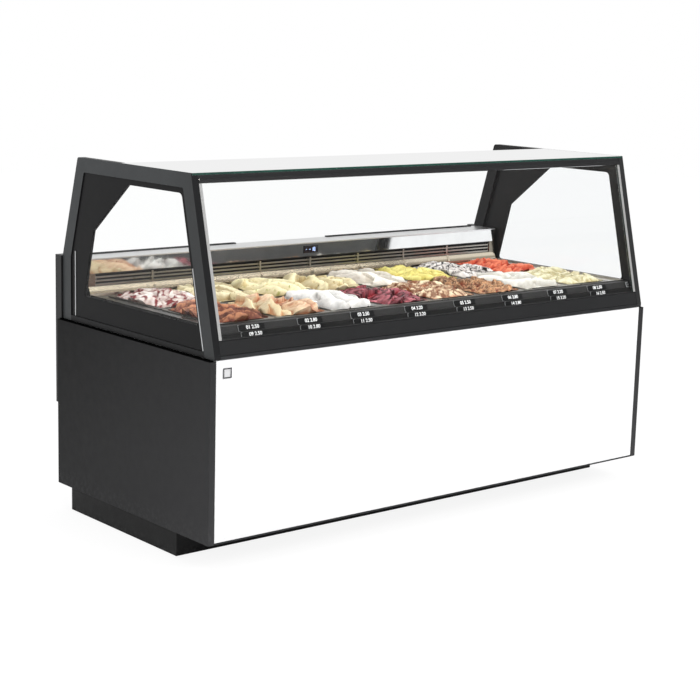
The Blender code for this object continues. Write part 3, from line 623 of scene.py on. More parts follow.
def folded_ledge():
    """Satin steel strip with painted reflections by height: pale on the upper slope, darker on
    the lower slope and the top flat, pale again on the upright foot.
    """
    m = Mat("steel_folded_ledge")
    grain = m.noise(1.6, detail=5.0, rough=0.7, vec=m.scaled((5.0, 200.0, 200.0)))
    streak = m.noise(2.4, detail=4.0, rough=0.6, vec=m.scaled((1.2, 90.0, 90.0)))
    z = m.plus(m.xyz()[2], m.remap(streak, -0.0016, 0.0016))
    # painted reflection: bands by height stand in for the light and ice cream seen in the steel
    base = m.mix(m.fade(z, 0.8655, 0.8775), (0.27, 0.225, 0.165), (0.60, 0.53, 0.415))
    base = m.mix(m.fade(z, 0.8845, 0.8880), base, (0.24, 0.215, 0.175))
    base = m.mix(m.fade(z, 0.8595, 0.8625, low=1.0, high=0.0), base, (0.52, 0.47, 0.39))
    base = m.mix(m.remap(grain, 0.0, 0.18), base, m.tint(base, (0.55, 0.52, 0.48)))
    return m.principled(base=base, metal=1.0, rough=m.remap(streak, 0.17, 0.27),
                        normal=m.bump(grain, strength=0.015, distance=0.0002))


def shaded_steel():
    """Brushed steel, darkened at the left end by painted shade."""
    m = Mat("steel_pan_frame")
    grain = m.noise(1.6, detail=5.0, rough=0.7, vec=m.scaled((6.0, 260.0, 260.0)))
    smear = m.noise(7.0, detail=5.0, rough=0.65, distort=0.8)
    # painted shade: the left end is painted dark, where it reflects the shaded left side
    tarnish_and_shade = m.fade(m.xyz()[0], -1.02, -0.72, low=1.0, high=0.0)
    steel = m.blotch(grain, (0.56, 0.54, 0.50), (0.64, 0.62, 0.58))
    dark = m.mix(m.remap(smear, 0, 1, 0.35, 0.65), (0.085, 0.082, 0.078), (0.130, 0.125, 0.118))
    base = m.mix(tarnish_and_shade, steel, dark)
    return m.principled(base=base, metal=1.0, rough=m.remap(smear, 0.24, 0.38),
                        normal=m.bump(grain, strength=0.025, distance=0.0002))


def banded_bars():
    """Louvre bars in matt steel, their top band painted black as painted shade under the mirror
    strip.
    """
    m = Mat("steel_louvre_face")
    grain = m.noise(1.6, detail=5.0, rough=0.7, vec=m.scaled((6.0, 300.0, 300.0)))
    smear = m.noise(7.0, detail=5.0, rough=0.65, distort=0.8)
    # painted shade: the top band is painted black for the dark gap under the mirror strip
    black = m.above(m.xyz()[2], 0.9312)
    steel = m.blotch(grain, (0.36, 0.34, 0.305), (0.43, 0.405, 0.365))
    base = m.mix(black, steel, (0.014, 0.014, 0.014))
    return m.principled(base=base, rough=m.remap(smear, 0.26, 0.38), metal=m.invert(black),
                        normal=m.bump(grain, strength=0.03, distance=0.0002))


def polished():
    """Bright polished strip, leaning back a hair, with a faint grain and wiped patches."""
    m = Mat("steel_polished")
    smear = m.noise(6.0, detail=5.0, rough=0.65, distort=0.8)
    grain = m.noise(1.6, detail=4.0, rough=0.6, vec=m.scaled((2.0, 160.0, 160.0)))
    base = m.blotch(smear, (0.70, 0.70, 0.69), (0.78, 0.78, 0.77))
    flat = m.geometry()["Normal"]
    facing_front = m.below(m.xyz(flat)[1], -0.5)
    lean = m.fade(m.xyz()[0], -0.74, -0.46, low=0.008, high=0.042)
    lift = m.node("ShaderNodeCombineXYZ",
                  {"X": 0.0, "Y": 0.0, "Z": m.times(facing_front, lean)}).outputs[0]
    tilted = m.vector("NORMALIZE", m.vector("ADD", flat, lift)[0])[0]
    return m.principled(base=base, metal=1.0, rough=m.remap(smear, 0.035, 0.075),
                        normal=m.bump(grain, strength=0.012, distance=0.0002, normal=tilted))


def galvanised():
    """Zinc spangle in cells of two greys."""
    m = Mat("steel_galvanised")
    cells = m.node("ShaderNodeTexVoronoi", {"Vector": m.scaled((1, 1, 1)), "Scale": 55.0},
                   feature="F1").outputs["Color"]
    grey = m.node("ShaderNodeSeparateColor", {0: cells}).outputs[0]
    base = m.mix(grey, (0.40, 0.41, 0.42), (0.56, 0.57, 0.58))
    return m.principled(base=base, metal=1.0, rough=m.remap(grey, 0.34, 0.52, start=0, end=1),
                        normal=m.bump(m.noise(240.0), strength=0.08, distance=0.0004))


def copper():
    """Copper tube, tarnished dark."""
    m = Mat("copper_tube")
    tarnish_and_shade = m.noise(35.0, detail=5.0, rough=0.65)
    base = m.mix(m.remap(tarnish_and_shade, 0, 1, 0.4, 0.68), (0.72, 0.34, 0.20), (0.30, 0.13, 0.08))
    return m.principled(base=base, metal=1.0, rough=m.remap(tarnish_and_shade, 0.24, 0.5),
                        normal=m.bump(tarnish_and_shade, strength=0.08, distance=0.0005))


def finned():
    """Aluminium fins: fine ribs across the coil with painted shade in the gaps between them,
    dulled with dust.
    """
    m = Mat("fins_aluminium")
    wave = m.math("FRACT", m.times(m.xyz()[0], 330.0))
    rib = m.fade(m.math("ABSOLUTE", m.math("SUBTRACT", wave, 0.5)), 0.18, 0.46)
    dust = m.noise(30.0, detail=5.0, rough=0.65)
    # painted shade: the gaps between the ribs are painted dark
    base = m.mix(rib, (0.20, 0.205, 0.21), (0.62, 0.63, 0.64))
    base = m.mix(m.fade(dust, 0.5, 0.75, high=0.35), base, (0.22, 0.21, 0.19))
    return m.principled(base=base, metal=0.85, rough=m.remap(dust, 0.34, 0.55),
                        normal=m.bump(rib, strength=0.5, distance=0.0012))


def two_tone_frame():
    """Front glass frame: bright satin uprights, black bar along the hinge."""
    m = Mat("frame_glass_trim")
    grain = m.noise(1.6, detail=5.0, rough=0.7, vec=m.scaled((420.0, 420.0, 9.0)))
    black = m.remap(m.xyz()[2], start=1.3385, end=1.3400)
    bright = m.blotch(grain, (0.40, 0.40, 0.395), (0.47, 0.47, 0.465))
    dark = m.blotch(m.noise(500.0), (0.009, 0.009, 0.0095), (0.014, 0.014, 0.015))
    base = m.mix(black, bright, dark)
    metal = m.times(m.invert(black), 0.45)
    rough = m.plus(m.remap(m.noise(30.0, detail=4.0), 0.30, 0.42), m.times(black, 0.02))
    return m.principled(base=base, metal=metal, rough=rough,
                        normal=m.bump(grain, strength=0.05, distance=0.0003))


# ------------------------------------------------------------------ glass and lit parts
def glass(name, face_normal, tint=(0.992, 0.996, 0.995), edge=(0.018, 0.062, 0.046),
          mirror=1.0, lit_pane=0.0, sheen=1.0):
    """Clear pane: looks straight through, mirrors a little, shows edge colour where cut.

    mirror scales the mirror share, sheen its colour; lit_pane is the strength seen in
    polished surfaces.
    """
    m = Mat(name)
    geo = m.geometry()
    normal = m.node("ShaderNodeVectorTransform", {"Vector": geo["True Normal"]},
                    vector_type="NORMAL", convert_from="WORLD", convert_to="OBJECT").outputs[0]
    facing = m.math("ABSOLUTE", m.vector("DOT_PRODUCT", normal, face_normal)["Value"])
    is_edge = m.below(facing, 0.72)
    wipe = m.fade(m.noise(5.0, detail=5.0, rough=0.65, distort=1.2), 0.52, 0.74)
    clear = m.node("ShaderNodeBsdfTransparent", {"Color": tint}).outputs[0]
    gloss = m.node("ShaderNodeBsdfGlossy", {
        "Color": (sheen, sheen, sheen),
        "Roughness": m.remap(wipe, 0.0, 0.10, start=0, end=1)}).outputs[0]
    # mirror share of one face, doubled on the side met first and left out on the far side
    cosine = m.math("ABSOLUTE", m.vector("DOT_PRODUCT", geo["Normal"], geo["Incoming"])["Value"])
    graze = m.math("POWER", m.invert(cosine, clamp=True), 5.0)
    share = m.times(m.plus(0.045, m.times(graze, 0.75)), mirror, clamp=True)
    share = m.times(share, m.invert(geo["Backfacing"]))
    path = m.light_path()
    share = m.times(share, m.invert(path["Is Shadow Ray"]))
    if lit_pane:
        # painted reflection: seen in a polished surface, this pane glows bright against the
        # backdrop behind it
        bright = m.node("ShaderNodeEmission",
                        {"Color": (0.97, 0.98, 1.0), "Strength": lit_pane}).outputs[0]
        clear = m.mix_shader(path["Is Glossy Ray"], clear, bright)
    pane = m.mix_shader(share, clear, gloss)
    cut = m.bsdf(base=m.blotch(m.noise(40.0, detail=4.0), edge, shade(edge, 1.9)), rough=0.16,
                 coat=0.4)
    return m.finish(m.mix_shader(is_edge, pane, cut))


def led():
    """Warm lit opal diffuser."""
    m = Mat("diffuser_opal")
    cloud = m.noise(22.0, detail=4.0)
    base = m.blotch(cloud, (0.82, 0.82, 0.79), (0.90, 0.90, 0.88))
    return m.principled(base=base, rough=m.remap(cloud, 0.38, 0.5), sss=0.2, sss_scale=0.004,
                        emit=(1.0, 0.955, 0.87), emit_strength=7.0,
                        normal=m.bump(m.noise(700.0), strength=0.04, distance=0.0002))


def display_lens():
    """Glossy blue-black lens."""
    m = Mat("lens_black")
    cloud = m.noise(120.0)
    return m.principled(base=m.blotch(cloud, (0.006, 0.007, 0.012), (0.012, 0.014, 0.024)),
                        rough=m.remap(cloud, 0.06, 0.12), coat=0.5, coat_rough=0.04)


def lit_digits():
    """Cool glowing display strokes."""
    m = Mat("digits_cool_white")
    cloud = m.noise(800.0, detail=2.0)
    return m.principled(base=(0.10, 0.12, 0.16), rough=m.remap(cloud, 0.3, 0.4),
                        emit=(0.45, 0.60, 1.0), emit_strength=2.4)


SIDE_NORMAL = (1.0, 0.0, 0.0)
FRONT_NORMAL = (0.0, -math.cos(LEAN_ANGLE), math.sin(LEAN_ANGLE))
MAT.update({
    "end_left": end_frame_paint("end_frame_paint_left", -1.0),
    "end_right": end_frame_paint("end_frame_paint_right", 1.0),
    "pan": pan_steel(), "ledge": folded_ledge(), "pan_frame": shaded_steel(),
    "grille_bars": banded_bars(), "mirror": polished(), "galvanised": galvanised(),
    "copper": copper(), "fins": finned(), "glass_frame": two_tone_frame(),
    "led": led(), "lens": display_lens(), "digits": lit_digits(),
    "clear": glass("glass_pane_side", SIDE_NORMAL, mirror=0.6),
    "clear_right": glass("glass_pane_side_right", SIDE_NORMAL, tint=(0.985, 0.988, 0.991),
                         mirror=0.6, lit_pane=1.30),
    "clear_front": glass("glass_pane_front", FRONT_NORMAL, edge=(0.012, 0.018, 0.017),
                         mirror=0.55),
    "clear_top": glass("glass_shelf", (0.0, 0.0, 1.0), tint=(0.975, 0.982, 0.983),
                       edge=(0.010, 0.036, 0.027), mirror=2.2, sheen=0.93),
})

# ------------------------------------------------------------------ looks of the CAD pieces
LOOK = {
    "plinth_skirt": "plinth", "base_tray": "frame_dark",
    "side_panel_left": "side_panel", "side_panel_right": "side_panel",
    "front_panel": "white", "front_trim_rail": "trim", "badge_plate": "badge_face",
    "front_sill": "frame_dark", "label_rail": "rail", "insulated_tub": "shell",
    "tub_liner": "steel", "pan_support_frame": "pan_frame", "worktop": "steel_top",
    "mirror_strip": "mirror", "temperature_display": "switch",
    "air_outlet_grille": "grille_bars", "outlet_surround": "ledge",
    "rear_back_panel": "frame_dark", "control_plate": "plastic", "light_switch": "switch",
    "power_switch": "switch", "rear_service_grille": "grille",
    "rear_edge_strip_left": "rubber", "rear_edge_strip_right": "rubber",
    "compressor": "enamel", "condenser_coil": "fins", "condenser_fan": "plastic",
    "condenser_fan_shroud": "galvanised", "evaporator_coil": "fins",
    "evaporator_fan": "plastic", "power_cable": "rubber",
    "end_frame_left": "end_left", "end_frame_right": "end_right",
    "side_glass_left": "clear", "side_glass_right": "clear_right",
    "shelf_glass": "clear_top", "shelf_rail": "frame_dark", "led_light_bar": "led",
    "front_glass": "clear_front", "front_glass_frame": "glass_frame",
}
for name, ob in NODES.items():
    key = LOOK.get(name) or ("pan" if name.startswith("pan_") else "galvanised")
    ob.data.materials.clear()
    ob.data.materials.append(MAT[key])

# width of the small round on each piece's edges
EDGE_ROUNDS = {
    "side_panel_left": 0.0010, "side_panel_right": 0.0010, "front_panel": 0.0012,
    "front_trim_rail": 0.0008, "plinth_skirt": 0.0012, "front_sill": 0.0006,
    "base_tray": 0.0008, "rear_back_panel": 0.0012, "control_plate": 0.0008,
    "worktop": 0.0006, "rear_service_grille": 0.0006,
}
for name, width in EDGE_ROUNDS.items():
    weld = NODES[name].modifiers.new("weld", "WELD")
    weld.merge_threshold = 0.00001
    edge = NODES[name].modifiers.new("edge", "BEVEL")
    edge.width = width
    edge.segments = 2
    edge.limit_method = "ANGLE"
    edge.angle_limit = math.radians(32.0)
    edge.use_clamp_overlap = True
    edge.harden_normals = True

# ------------------------------------------------------------------ side panes: print, trims
FRAME_OUT = 0.018                      # outer face of the left end frame
PANE_OUT = FRAME_OUT + 0.0045
PANE_IN = PANE_OUT + 0.008
REAR_KNEE, REAR_KNEE_Z, REAR_TOP = 1.000, 0.998, 0.889   # rear post: y and z of its bend, top y
PANE_GAP = 0.0010
PANE_CENTRE = Vector((0.47, 1.05))     # (y, z) from which the two outlines are matched
STRIP_WIDTH = 0.0052

# clear window in the print: y, z, corner radius
WINDOW = [
    (0.1012, 0.8565, 0.012), (0.8500, 0.8570, 0.012), (0.7835, 1.1110, 0.008),
    (0.5460, 1.3005, 0.006), (0.2098, 1.3015, 0.020),
]


def pane_outline():
    """Opening of the end frame, shrunk by the gap."""
    rear_lean = (REAR_KNEE - REAR_TOP) / (HEIGHT - REAR_KNEE_Z)
    z0, z1 = 0.772 + PANE_GAP, HEIGHT - 0.0535 - PANE_GAP
    rear = REAR_KNEE - 0.058 - PANE_GAP
    top = REAR_TOP - 0.0590 + (HEIGHT - z1) * rear_lean - PANE_GAP
    knee = z1 - (rear - top) / rear_lean
    return [(front_y(z0) + 0.060 + PANE_GAP, z0), (rear, z0), (rear, knee), (top, z1),
            (front_y(z1) + 0.060 + PANE_GAP, z1)]


def cast(outline, targets):
    """Points where rays from the pane's centre through the targets meet an outline."""
    hits = []
    for target in targets:
        ray = Vector(target) - PANE_CENTRE
        nearest = None
        for start, end in zip(outline, outline[1:] + outline[:1]):
            edge = Vector(end) - Vector(start)
            cross = ray.x * edge.y - ray.y * edge.x
            if abs(cross) < 1e-12:
                continue
            gap = Vector(start) - PANE_CENTRE
            reach = (gap.x * edge.y - gap.y * edge.x) / cross
            along = (gap.x * ray.y - gap.y * ray.x) / cross
            on_edge = reach > 0 and -1e-9 <= along <= 1 + 1e-9
            if on_edge and (nearest is None or reach < nearest):
                nearest = reach
        hits.append(tuple(PANE_CENTRE + ray * nearest))
    return hits


window = rounded_loop([row[:2] for row in WINDOW], [row[2] for row in WINDOW], 6)
pane_corners = pane_outline()
# a window point on the ray to each pane corner keeps the ring's corners
inner_ring = sorted(window + cast(window, pane_corners),
                    key=lambda p: math.atan2(p[1] - PANE_CENTRE.y, p[0] - PANE_CENTRE.x))
outer_ring = cast(pane_corners, inner_ring)


def side_pane(side):
    """Printed borders on both faces and bright retaining strips outside."""
    left = side == "left"

    def place(y, z, x):
        return point(x if left else WIDTH - x, y, z)

    border = Build("side_print_" + side, "print", "print_in")
    border.ring(outer_ring, inner_ring, PANE_IN + 0.0002, PANE_IN + 0.0008, place, 1)
    border.ring(outer_ring, inner_ring, PANE_OUT - 0.0006, PANE_OUT - 0.0001, place)
    border.done()

    strips = Build("side_trim_" + side, "alu")
    x0, x1 = FRAME_OUT + 0.0018, FRAME_OUT + 0.0037
    if not left:
        x0, x1 = WIDTH - x1, WIDTH - x0
    # lower y, z and upper y, z: front strip, rear strip
    for y0, z0, y1, z1 in ((0.0700, 0.7740, 0.1375, 1.0500), (0.9125, 0.7740, 0.9125, 1.0200)):
        along = Vector((y1 - y0, z1 - z0)).normalized()
        half_y, half_z = Vector((along.y, -along.x)) * (STRIP_WIDTH / 2)
        strips.prism([(y0 + half_y, z0 + half_z), (y1 + half_y, z1 + half_z),
                      (y1 - half_y, z1 - half_z), (y0 - half_y, z0 - half_z)],
                     x0, x1, bevel=0.0005)
    strips.done()


side_pane("left")
side_pane("right")

# ------------------------------------------------------------------ numbered price cards
PRICES = ("2.50", "2.80", "2.50", "3.20", "2.50", "2.80", "3.20", "2.50")
CARD_X = (0.1525, 0.4120, 0.6580, 0.9230, 1.1750, 1.4360, 1.6960, 1.9340)
CARD_WIDTH = 0.112
# label rail faces: (y, z) of the bottom and top edges
UPPER_FACE = ((0.0440, 0.8330), (0.0535, 0.8545))
LOWER_FACE = ((0.0270, 0.8130), (0.0330, 0.8325))


def text_mesh(text):
    curve = bpy.data.curves.new("t", "FONT")
    curve.body = text
    curve.size = 0.0186
    curve.extrude = 0.00015
    curve.resolution_u = 3
    curve.align_x, curve.align_y = "CENTER", "CENTER"
    curve.offset = 0.00040
    ob = bpy.data.objects.new("t", curve)
    bpy.context.scene.collection.objects.link(ob)
    depsgraph = bpy.context.evaluated_depsgraph_get()
    me = bpy.data.meshes.new_from_object(ob.evaluated_get(depsgraph), depsgraph=depsgraph)
    bpy.data.objects.remove(ob)
    bpy.data.curves.remove(curve)
    bm = bmesh.new()
    bm.from_mesh(me)
    bmesh.ops.remove_doubles(bm, verts=bm.verts, dist=1e-6)
    bm.to_mesh(me)
    bm.free()
    return me


def face_axes(face):
    """Rail face: height, direction out of it, and basis (right, up, out)."""
    (y0, z0), (y1, z1) = face
    rise = Vector((0, y1, z1)) - Vector((0, y0, z0))
    right, up = Vector((1, 0, 0)), rise.normalized()
    out = right.cross(up)
    return rise.length, out, Matrix((right, up, out)).transposed()


cards = Build("name_cards", "card", "ink")
clips = Build("card_clips", "clip")
for row, face in enumerate((UPPER_FACE, LOWER_FACE)):
    face_height, out, basis = face_axes(face)
    turn = basis.to_4x4()
    card_height = face_height * 0.92
    clip_height = card_height + 0.001
    middle = Vector((0, *face[0])) + basis.col[1] * (face_height * 0.5)
    # bracket at the card's left end: offset along and up, length, height
    bracket = ((-0.0022, 0, 0.0013, clip_height),
               (0.0005, clip_height / 2 - 0.0005, 0.0060, 0.0011),
               (0.0005, -clip_height / 2 + 0.0005, 0.0060, 0.0011))
    for i, x0 in enumerate(CARD_X):
        centre = point(x0 + CARD_WIDTH / 2, middle.y, middle.z) + out * 0.0009
        cards.block((CARD_WIDTH, card_height, 0.0010), Matrix.Translation(centre) @ turn,
                    bevel=0.0003)
        me = text_mesh("%02d %s" % (row * len(CARD_X) + i + 1, PRICES[i]))
        text_at = centre + out * 0.00075 + Vector((0.004, 0, 0))
        me.transform(Matrix.Translation(text_at) @ turn)
        cards.add([v.co for v in me.vertices], [list(p.vertices) for p in me.polygons], 1)
        for along, up, length, height in bracket:
            offset = basis @ Vector((along - CARD_WIDTH / 2 + 0.0005, up, 0))
            clip_at = Matrix.Translation(centre + out * 0.0006 + offset)
            clips.block((length, height, 0.0016), clip_at @ turn, bevel=0.0002)
cards.done()
clips.done()

# ------------------------------------------------------------------ small lock by the glass
lock = Build("glass_lock", "frame_dark", "clip", "screw")
_, out, basis = face_axes(UPPER_FACE)
centre = point(2.172, 0.0440, 0.8420) + out * 0.0040


def on_lock(offset):
    return Matrix.Translation(centre + out * offset) @ basis.to_4x4()


lock.block((0.015, 0.022, 0.006), on_lock(0.0), 1, bevel=0.0016, segments=3, smoothed=True)
lock.block((0.0122, 0.0192, 0.0030), on_lock(0.0022), 0, bevel=0.0012, segments=3, smoothed=True)
lock.cone(on_lock(0.0044), radius=0.0036, top_radius=0.0033, length=0.0022, sides=20, slot=2)
lock.block((0.0008, 0.0042, 0.0006), on_lock(0.0057))
lock.done()

# ------------------------------------------------------------------ badge frame
BADGE_X, BADGE_Z, BADGE_HALF, BADGE_BORDER = 0.0733, 0.7035, 0.018, 0.0042


def badge_square(half, radius):
    corners = [(BADGE_X + i * half, BADGE_Z + j * half)
               for i, j in ((-1, -1), (1, -1), (1, 1), (-1, 1))]
    return rounded_loop(corners, [radius] * 4, 3)


badge = Build("badge_frame", "badge_ring")
badge.ring(badge_square(BADGE_HALF, 0.002), badge_square(BADGE_HALF - BADGE_BORDER, 0.0012),
           -0.0010, 0.0002, lambda x, z, y: point(x, y, z))
badge.done()

# ------------------------------------------------------------------ displays
# seven strokes of a digit: x and z of both ends, as shares of its size
STROKES = {
    "a": (0, 1, 1, 1), "b": (1, 1, 1, 0.5), "c": (1, 0.5, 1, 0), "d": (0, 0, 1, 0),
    "e": (0, 0, 0, 0.5), "f": (0, 0.5, 0, 1), "g": (0, 0.5, 1, 0.5),
}
DIGITS = {"-": "g", "1": "bc", "8": "abcdefg"}


def digit(build, char, x, z, size, stroke, trim, y_span, slot, mirrored=False):
    """One character; trim shortens each stroke's ends, as a share of the stroke width."""
    for name in DIGITS[char]:
        x0, z0, x1, z1 = STROKES[name]
        if mirrored:
            x0, x1 = 1 - x0, 1 - x1
        left, right = sorted((x + x0 * size[0], x + x1 * size[0]))
        low, high = sorted((z + z0 * size[1], z + z1 * size[1]))
        inset_x, inset_z = stroke * trim, -stroke / 2
        if x0 == x1:
            inset_x, inset_z = inset_z, inset_x
        build.box((left + inset_x, y_span[0], low + inset_z),
                  (right - inset_x, y_span[1], high - inset_z), slot)


display = Build("display_face", "lens", "digits")
display.box((1.0785, 0.8561, 0.9530), (1.1495, 0.8571, 0.9780), 0, bevel=0.0003, segments=1)
for i, char in enumerate("-18"):
    digit(display, char, 1.1045 + i * 0.0118, 0.9585, size=(0.0075, 0.0140), stroke=0.0017,
          trim=0.35, y_span=(0.8557, 0.8561), slot=1)
display.box((1.0880, 0.8557, 0.9645), (1.0905, 0.8561, 0.9670), 1)
display.done()

# ------------------------------------------------------------------ air outlet
OUTLET_X0 = 0.0785                     # inset of the outlet's ends
OUTLET_BAYS = 8
OUTLET_PITCH = (WIDTH - 2 * OUTLET_X0) / OUTLET_BAYS

# slanted blades behind the slots, a dark back wall and upright dividers
blades = Build("outlet_blades", "steel_bars", "frame_dark")
for i in range(4):
    z = 0.8925 + i * 0.0140
    blades.box((0.0805, 0.8708, z - 0.0004), (WIDTH - 0.0805, 0.8828, z + 0.0004), tilt=-28)
blades.box((0.0790, 0.9000, 0.8880), (WIDTH - 0.0790, 0.9030, 0.9380), 1)
for i in range(OUTLET_BAYS + 1):
    x = OUTLET_X0 + i * OUTLET_PITCH
    blades.box((x - 0.0012, 0.8700, 0.8885), (x + 0.0012, 0.8850, 0.9370))
blades.done()

# folded covers on the ledge under the outlet: (y, z)
JOINT_OUTLINE = [
    (0.8463, 0.8620), (0.8478, 0.8622), (0.8598, 0.8884), (0.8708, 0.8884),
    (0.8708, 0.8890), (0.8594, 0.8890), (0.8463, 0.8628),
]
joints = Build("outlet_joint_covers", "steel_warm_reflection", "screw")
for i in range(1, OUTLET_BAYS):
    x = OUTLET_X0 + i * OUTLET_PITCH
    joints.prism(JOINT_OUTLINE, x - 0.006, x + 0.006)
joints.done()

# ------------------------------------------------------------------ front glass seal and hinge
SEAL_Z = 0.8160
SEAL_INSET = 0.0600
# offsets in y and z from the leaning front at the seal's height
SEAL_OUTLINE = [
    (0.0012, -0.0020), (0.0098, 0.0001), (0.0100, 0.0030),
    (0.0092, 0.0030), (0.0090, 0.0004), (0.0012, -0.0006),
]
seal = Build("front_glass_seal", "rubber", body="front_glass_unit")
seal.prism([(front_y(SEAL_Z) + y, SEAL_Z + z) for y, z in SEAL_OUTLINE],
           SEAL_INSET, WIDTH - SEAL_INSET)
seal.done()

PIN_Y, PIN_Z = front_y(HINGE_Z) + 0.0006, HINGE_Z + 0.0003
pin = Build("glass_hinge_pin", "trim")
pin.rod((CENTRE_X, PIN_Y, PIN_Z), (1, 0, 0), radius=0.0016, length=2.140, sides=14)
for x in (0.20, 0.66, 1.12, 1.58, 2.04):
    pin.rod((x, PIN_Y, PIN_Z), (1, 0, 0), radius=0.0022, length=0.060, sides=18, bevel=0.0003)
pin.done()

# ------------------------------------------------------------------ light bar caps and collars
CAP_X0, CAP_X1 = 0.0545, 0.0596
# outlines: (y, z)
CAP_OUTLINE = [
    (0.1610, 1.3528), (0.1588, 1.3438), (0.1634, 1.3390),
    (0.1806, 1.3390), (0.1852, 1.3438), (0.1850, 1.3528),
]
COLLAR_OUTLINE = [
    (0.1600, 1.3528), (0.1590, 1.3436), (0.1636, 1.3392),
    (0.1804, 1.3392), (0.1850, 1.3436), (0.1848, 1.3528),
]
caps = Build("light_bar_caps", "alu", "screw")
caps.prism(CAP_OUTLINE, CAP_X0, CAP_X1, bevel=0.0006)
caps.prism(CAP_OUTLINE, WIDTH - CAP_X1, WIDTH - CAP_X0, bevel=0.0006)
for i in range(1, 4):
    x = 0.060 + i * 0.53
    caps.prism(COLLAR_OUTLINE, x - 0.006, x + 0.006, bevel=0.0004)
caps.done()

# ------------------------------------------------------------------ screws
# rear face: x places, z places, y, head radius
REAR_SCREWS = [
    ((0.040, 0.576, 1.112, 1.652, 2.200), (0.440, 0.720, 0.962), 1.0450, 0.0045),
    ((0.050, 0.586, 1.118, 1.650, 2.190), (0.1230, 0.3980), 1.0080, 0.0040),
    ((1.569, 1.791), (0.799, 0.851), 1.0390, 0.0028),
]
rear = Build("rear_screws", "screw_black", "plastic")
for xs, zs, y, radius in REAR_SCREWS:
    for x in xs:
        for z in zs:
            rear.screw((x, y, z), (0, 1, 0), radius)
rear.done()

OUTLET_SCREW_X0 = 0.0840
inside = Build("interior_screws", "screw", "plastic")
for i in range(OUTLET_BAYS + 1):
    x = OUTLET_SCREW_X0 + i * ((WIDTH - 2 * OUTLET_SCREW_X0) / OUTLET_BAYS)
    inside.screw((x, 0.8665, 0.9145), (0, -1, 0), 0.0022)
for x in (0.10, 0.66, 1.22, 1.78, 2.14):
    inside.screw((x, 0.0620, 0.8400), (0, 0, 1), 0.0030)
inside.done()

# ------------------------------------------------------------------ controller, server's side
controller = Build("controller_unit", "switch", "lens", "digits", "clip")
controller.box((1.580, 1.0385, 0.806), (1.656, 1.0418, 0.844), 0, bevel=0.0010)
controller.box((1.5840, 1.0412, 0.8165), (1.6300, 1.0422, 0.8400), 1, bevel=0.0004, segments=1)
for i in range(4):
    x = i * 0.0165
    controller.box((1.5850 + x, 1.0414, 0.8085), (1.5985 + x, 1.0424, 0.8140), 3, bevel=0.0005)
# seen from behind, x runs to the left, so this reads -18
for i, char in enumerate("81-"):
    digit(controller, char, 1.5975 + i * 0.0105, 0.8220, size=(0.0070, 0.0125), stroke=0.0015,
          trim=0.3, y_span=(1.0422, 1.0426), slot=2, mirrored=True)
controller.done()

# ------------------------------------------------------------------ seats of the feet
FOOT_INSET_X = 0.13


def circle(x, y, radius, count):
    """Points of a circle about (x, y)."""
    angles = [2 * math.pi * k / count for k in range(count)]
    return [(x + radius * math.cos(t), y + radius * math.sin(t)) for t in angles]


seats = Build("levelling_foot_seats", "galvanised")
for x in (FOOT_INSET_X, WIDTH - FOOT_INSET_X):
    for y in (0.300, 0.880):
        seats.ring(circle(x, y, 0.0130, 32), circle(x, y, 0.0088, 32), 0.0700, 0.0988, point)
seats.done()

# ------------------------------------------------------------------ refrigeration details
COIL_Y = 0.905
BEND_RADIUS, BEND_STEPS = 0.03, 6
# tube radius and path
PIPES = [
    (0.0048, [(0.52, 0.60, 0.250), (0.60, 0.60, 0.250), (0.60, COIL_Y, 0.250),
              (0.60, COIL_Y, 0.375), (0.690, COIL_Y, 0.375)]),
    (0.0032, [(0.690, COIL_Y, 0.130), (0.640, COIL_Y, 0.130), (0.640, 0.760, 0.130),
              (0.300, 0.760, 0.130), (0.300, 0.760, 0.300)]),
    (0.0062, [(0.33, 0.60, 0.260), (0.26, 0.60, 0.260), (0.26, 0.60, 0.480),
              (0.26, 0.50, 0.530)]),
]


def bend(path):
    """Rounds the corners of a path."""
    rounded = [path[0]]
    for before, middle, after in zip(path, path[1:], path[2:]):
        corner = Vector(middle)
        back, ahead = Vector(before) - corner, Vector(after) - corner
        reach = min(BEND_RADIUS, back.length * 0.48, ahead.length * 0.48)
        start = corner + back.normalized() * reach
        end = corner + ahead.normalized() * reach
        for k in range(BEND_STEPS + 1):
            u = k / BEND_STEPS
            rounded.append(tuple((1 - u) ** 2 * start + 2 * u * (1 - u) * corner + u * u * end))
    rounded.append(path[-1])
    return rounded


pipes = Build("refrigerant_pipes", "copper", "galvanised")
for radius, path in PIPES:
    pipes.tube(bend(path), radius)
# hairpin bends at the coil's two ends
for x, outward in ((0.6955, -1), (1.0845, 1)):
    for i in range(6):
        z = 0.135 + i * 0.045
        hairpin = [(x - outward * 0.004, COIL_Y, z)]
        for k in range(9):
            t = math.pi * k / 8
            hairpin.append((x + outward * 0.012 * math.sin(t), COIL_Y,
                            z + 0.010 - 0.010 * math.cos(t)))
        hairpin.append((x - outward * 0.004, COIL_Y, z + 0.020))
        pipes.tube(hairpin, 0.0042)
# filter drier
pipes.rod((0.300, 0.760, 0.350), (0, 0, 1), radius=0.016, length=0.100, sides=24, bevel=0.004)
pipes.done()

# wire guard: five rings and four arms that turn back to the shroud
FAN_X, FAN_Z = 0.890, 0.2545
guard = Build("condenser_fan_guard", "galvanised")
for radius in (0.030, 0.055, 0.080, 0.105, 0.128):
    loop = [(x, 0.8160, z) for x, z in circle(FAN_X, FAN_Z, radius, 40)]
    guard.tube(loop, 0.0012, sides=6, closed=True)
for i in range(4):
    t = math.pi / 4 + i * math.pi / 2
    arm = [(FAN_X + radius * math.cos(t), y, FAN_Z + radius * math.sin(t))
           for radius, y in ((0.026, 0.8145), (0.140, 0.8145), (0.146, 0.8715))]
    guard.tube(arm, 0.0016, sides=8)
guard.done()

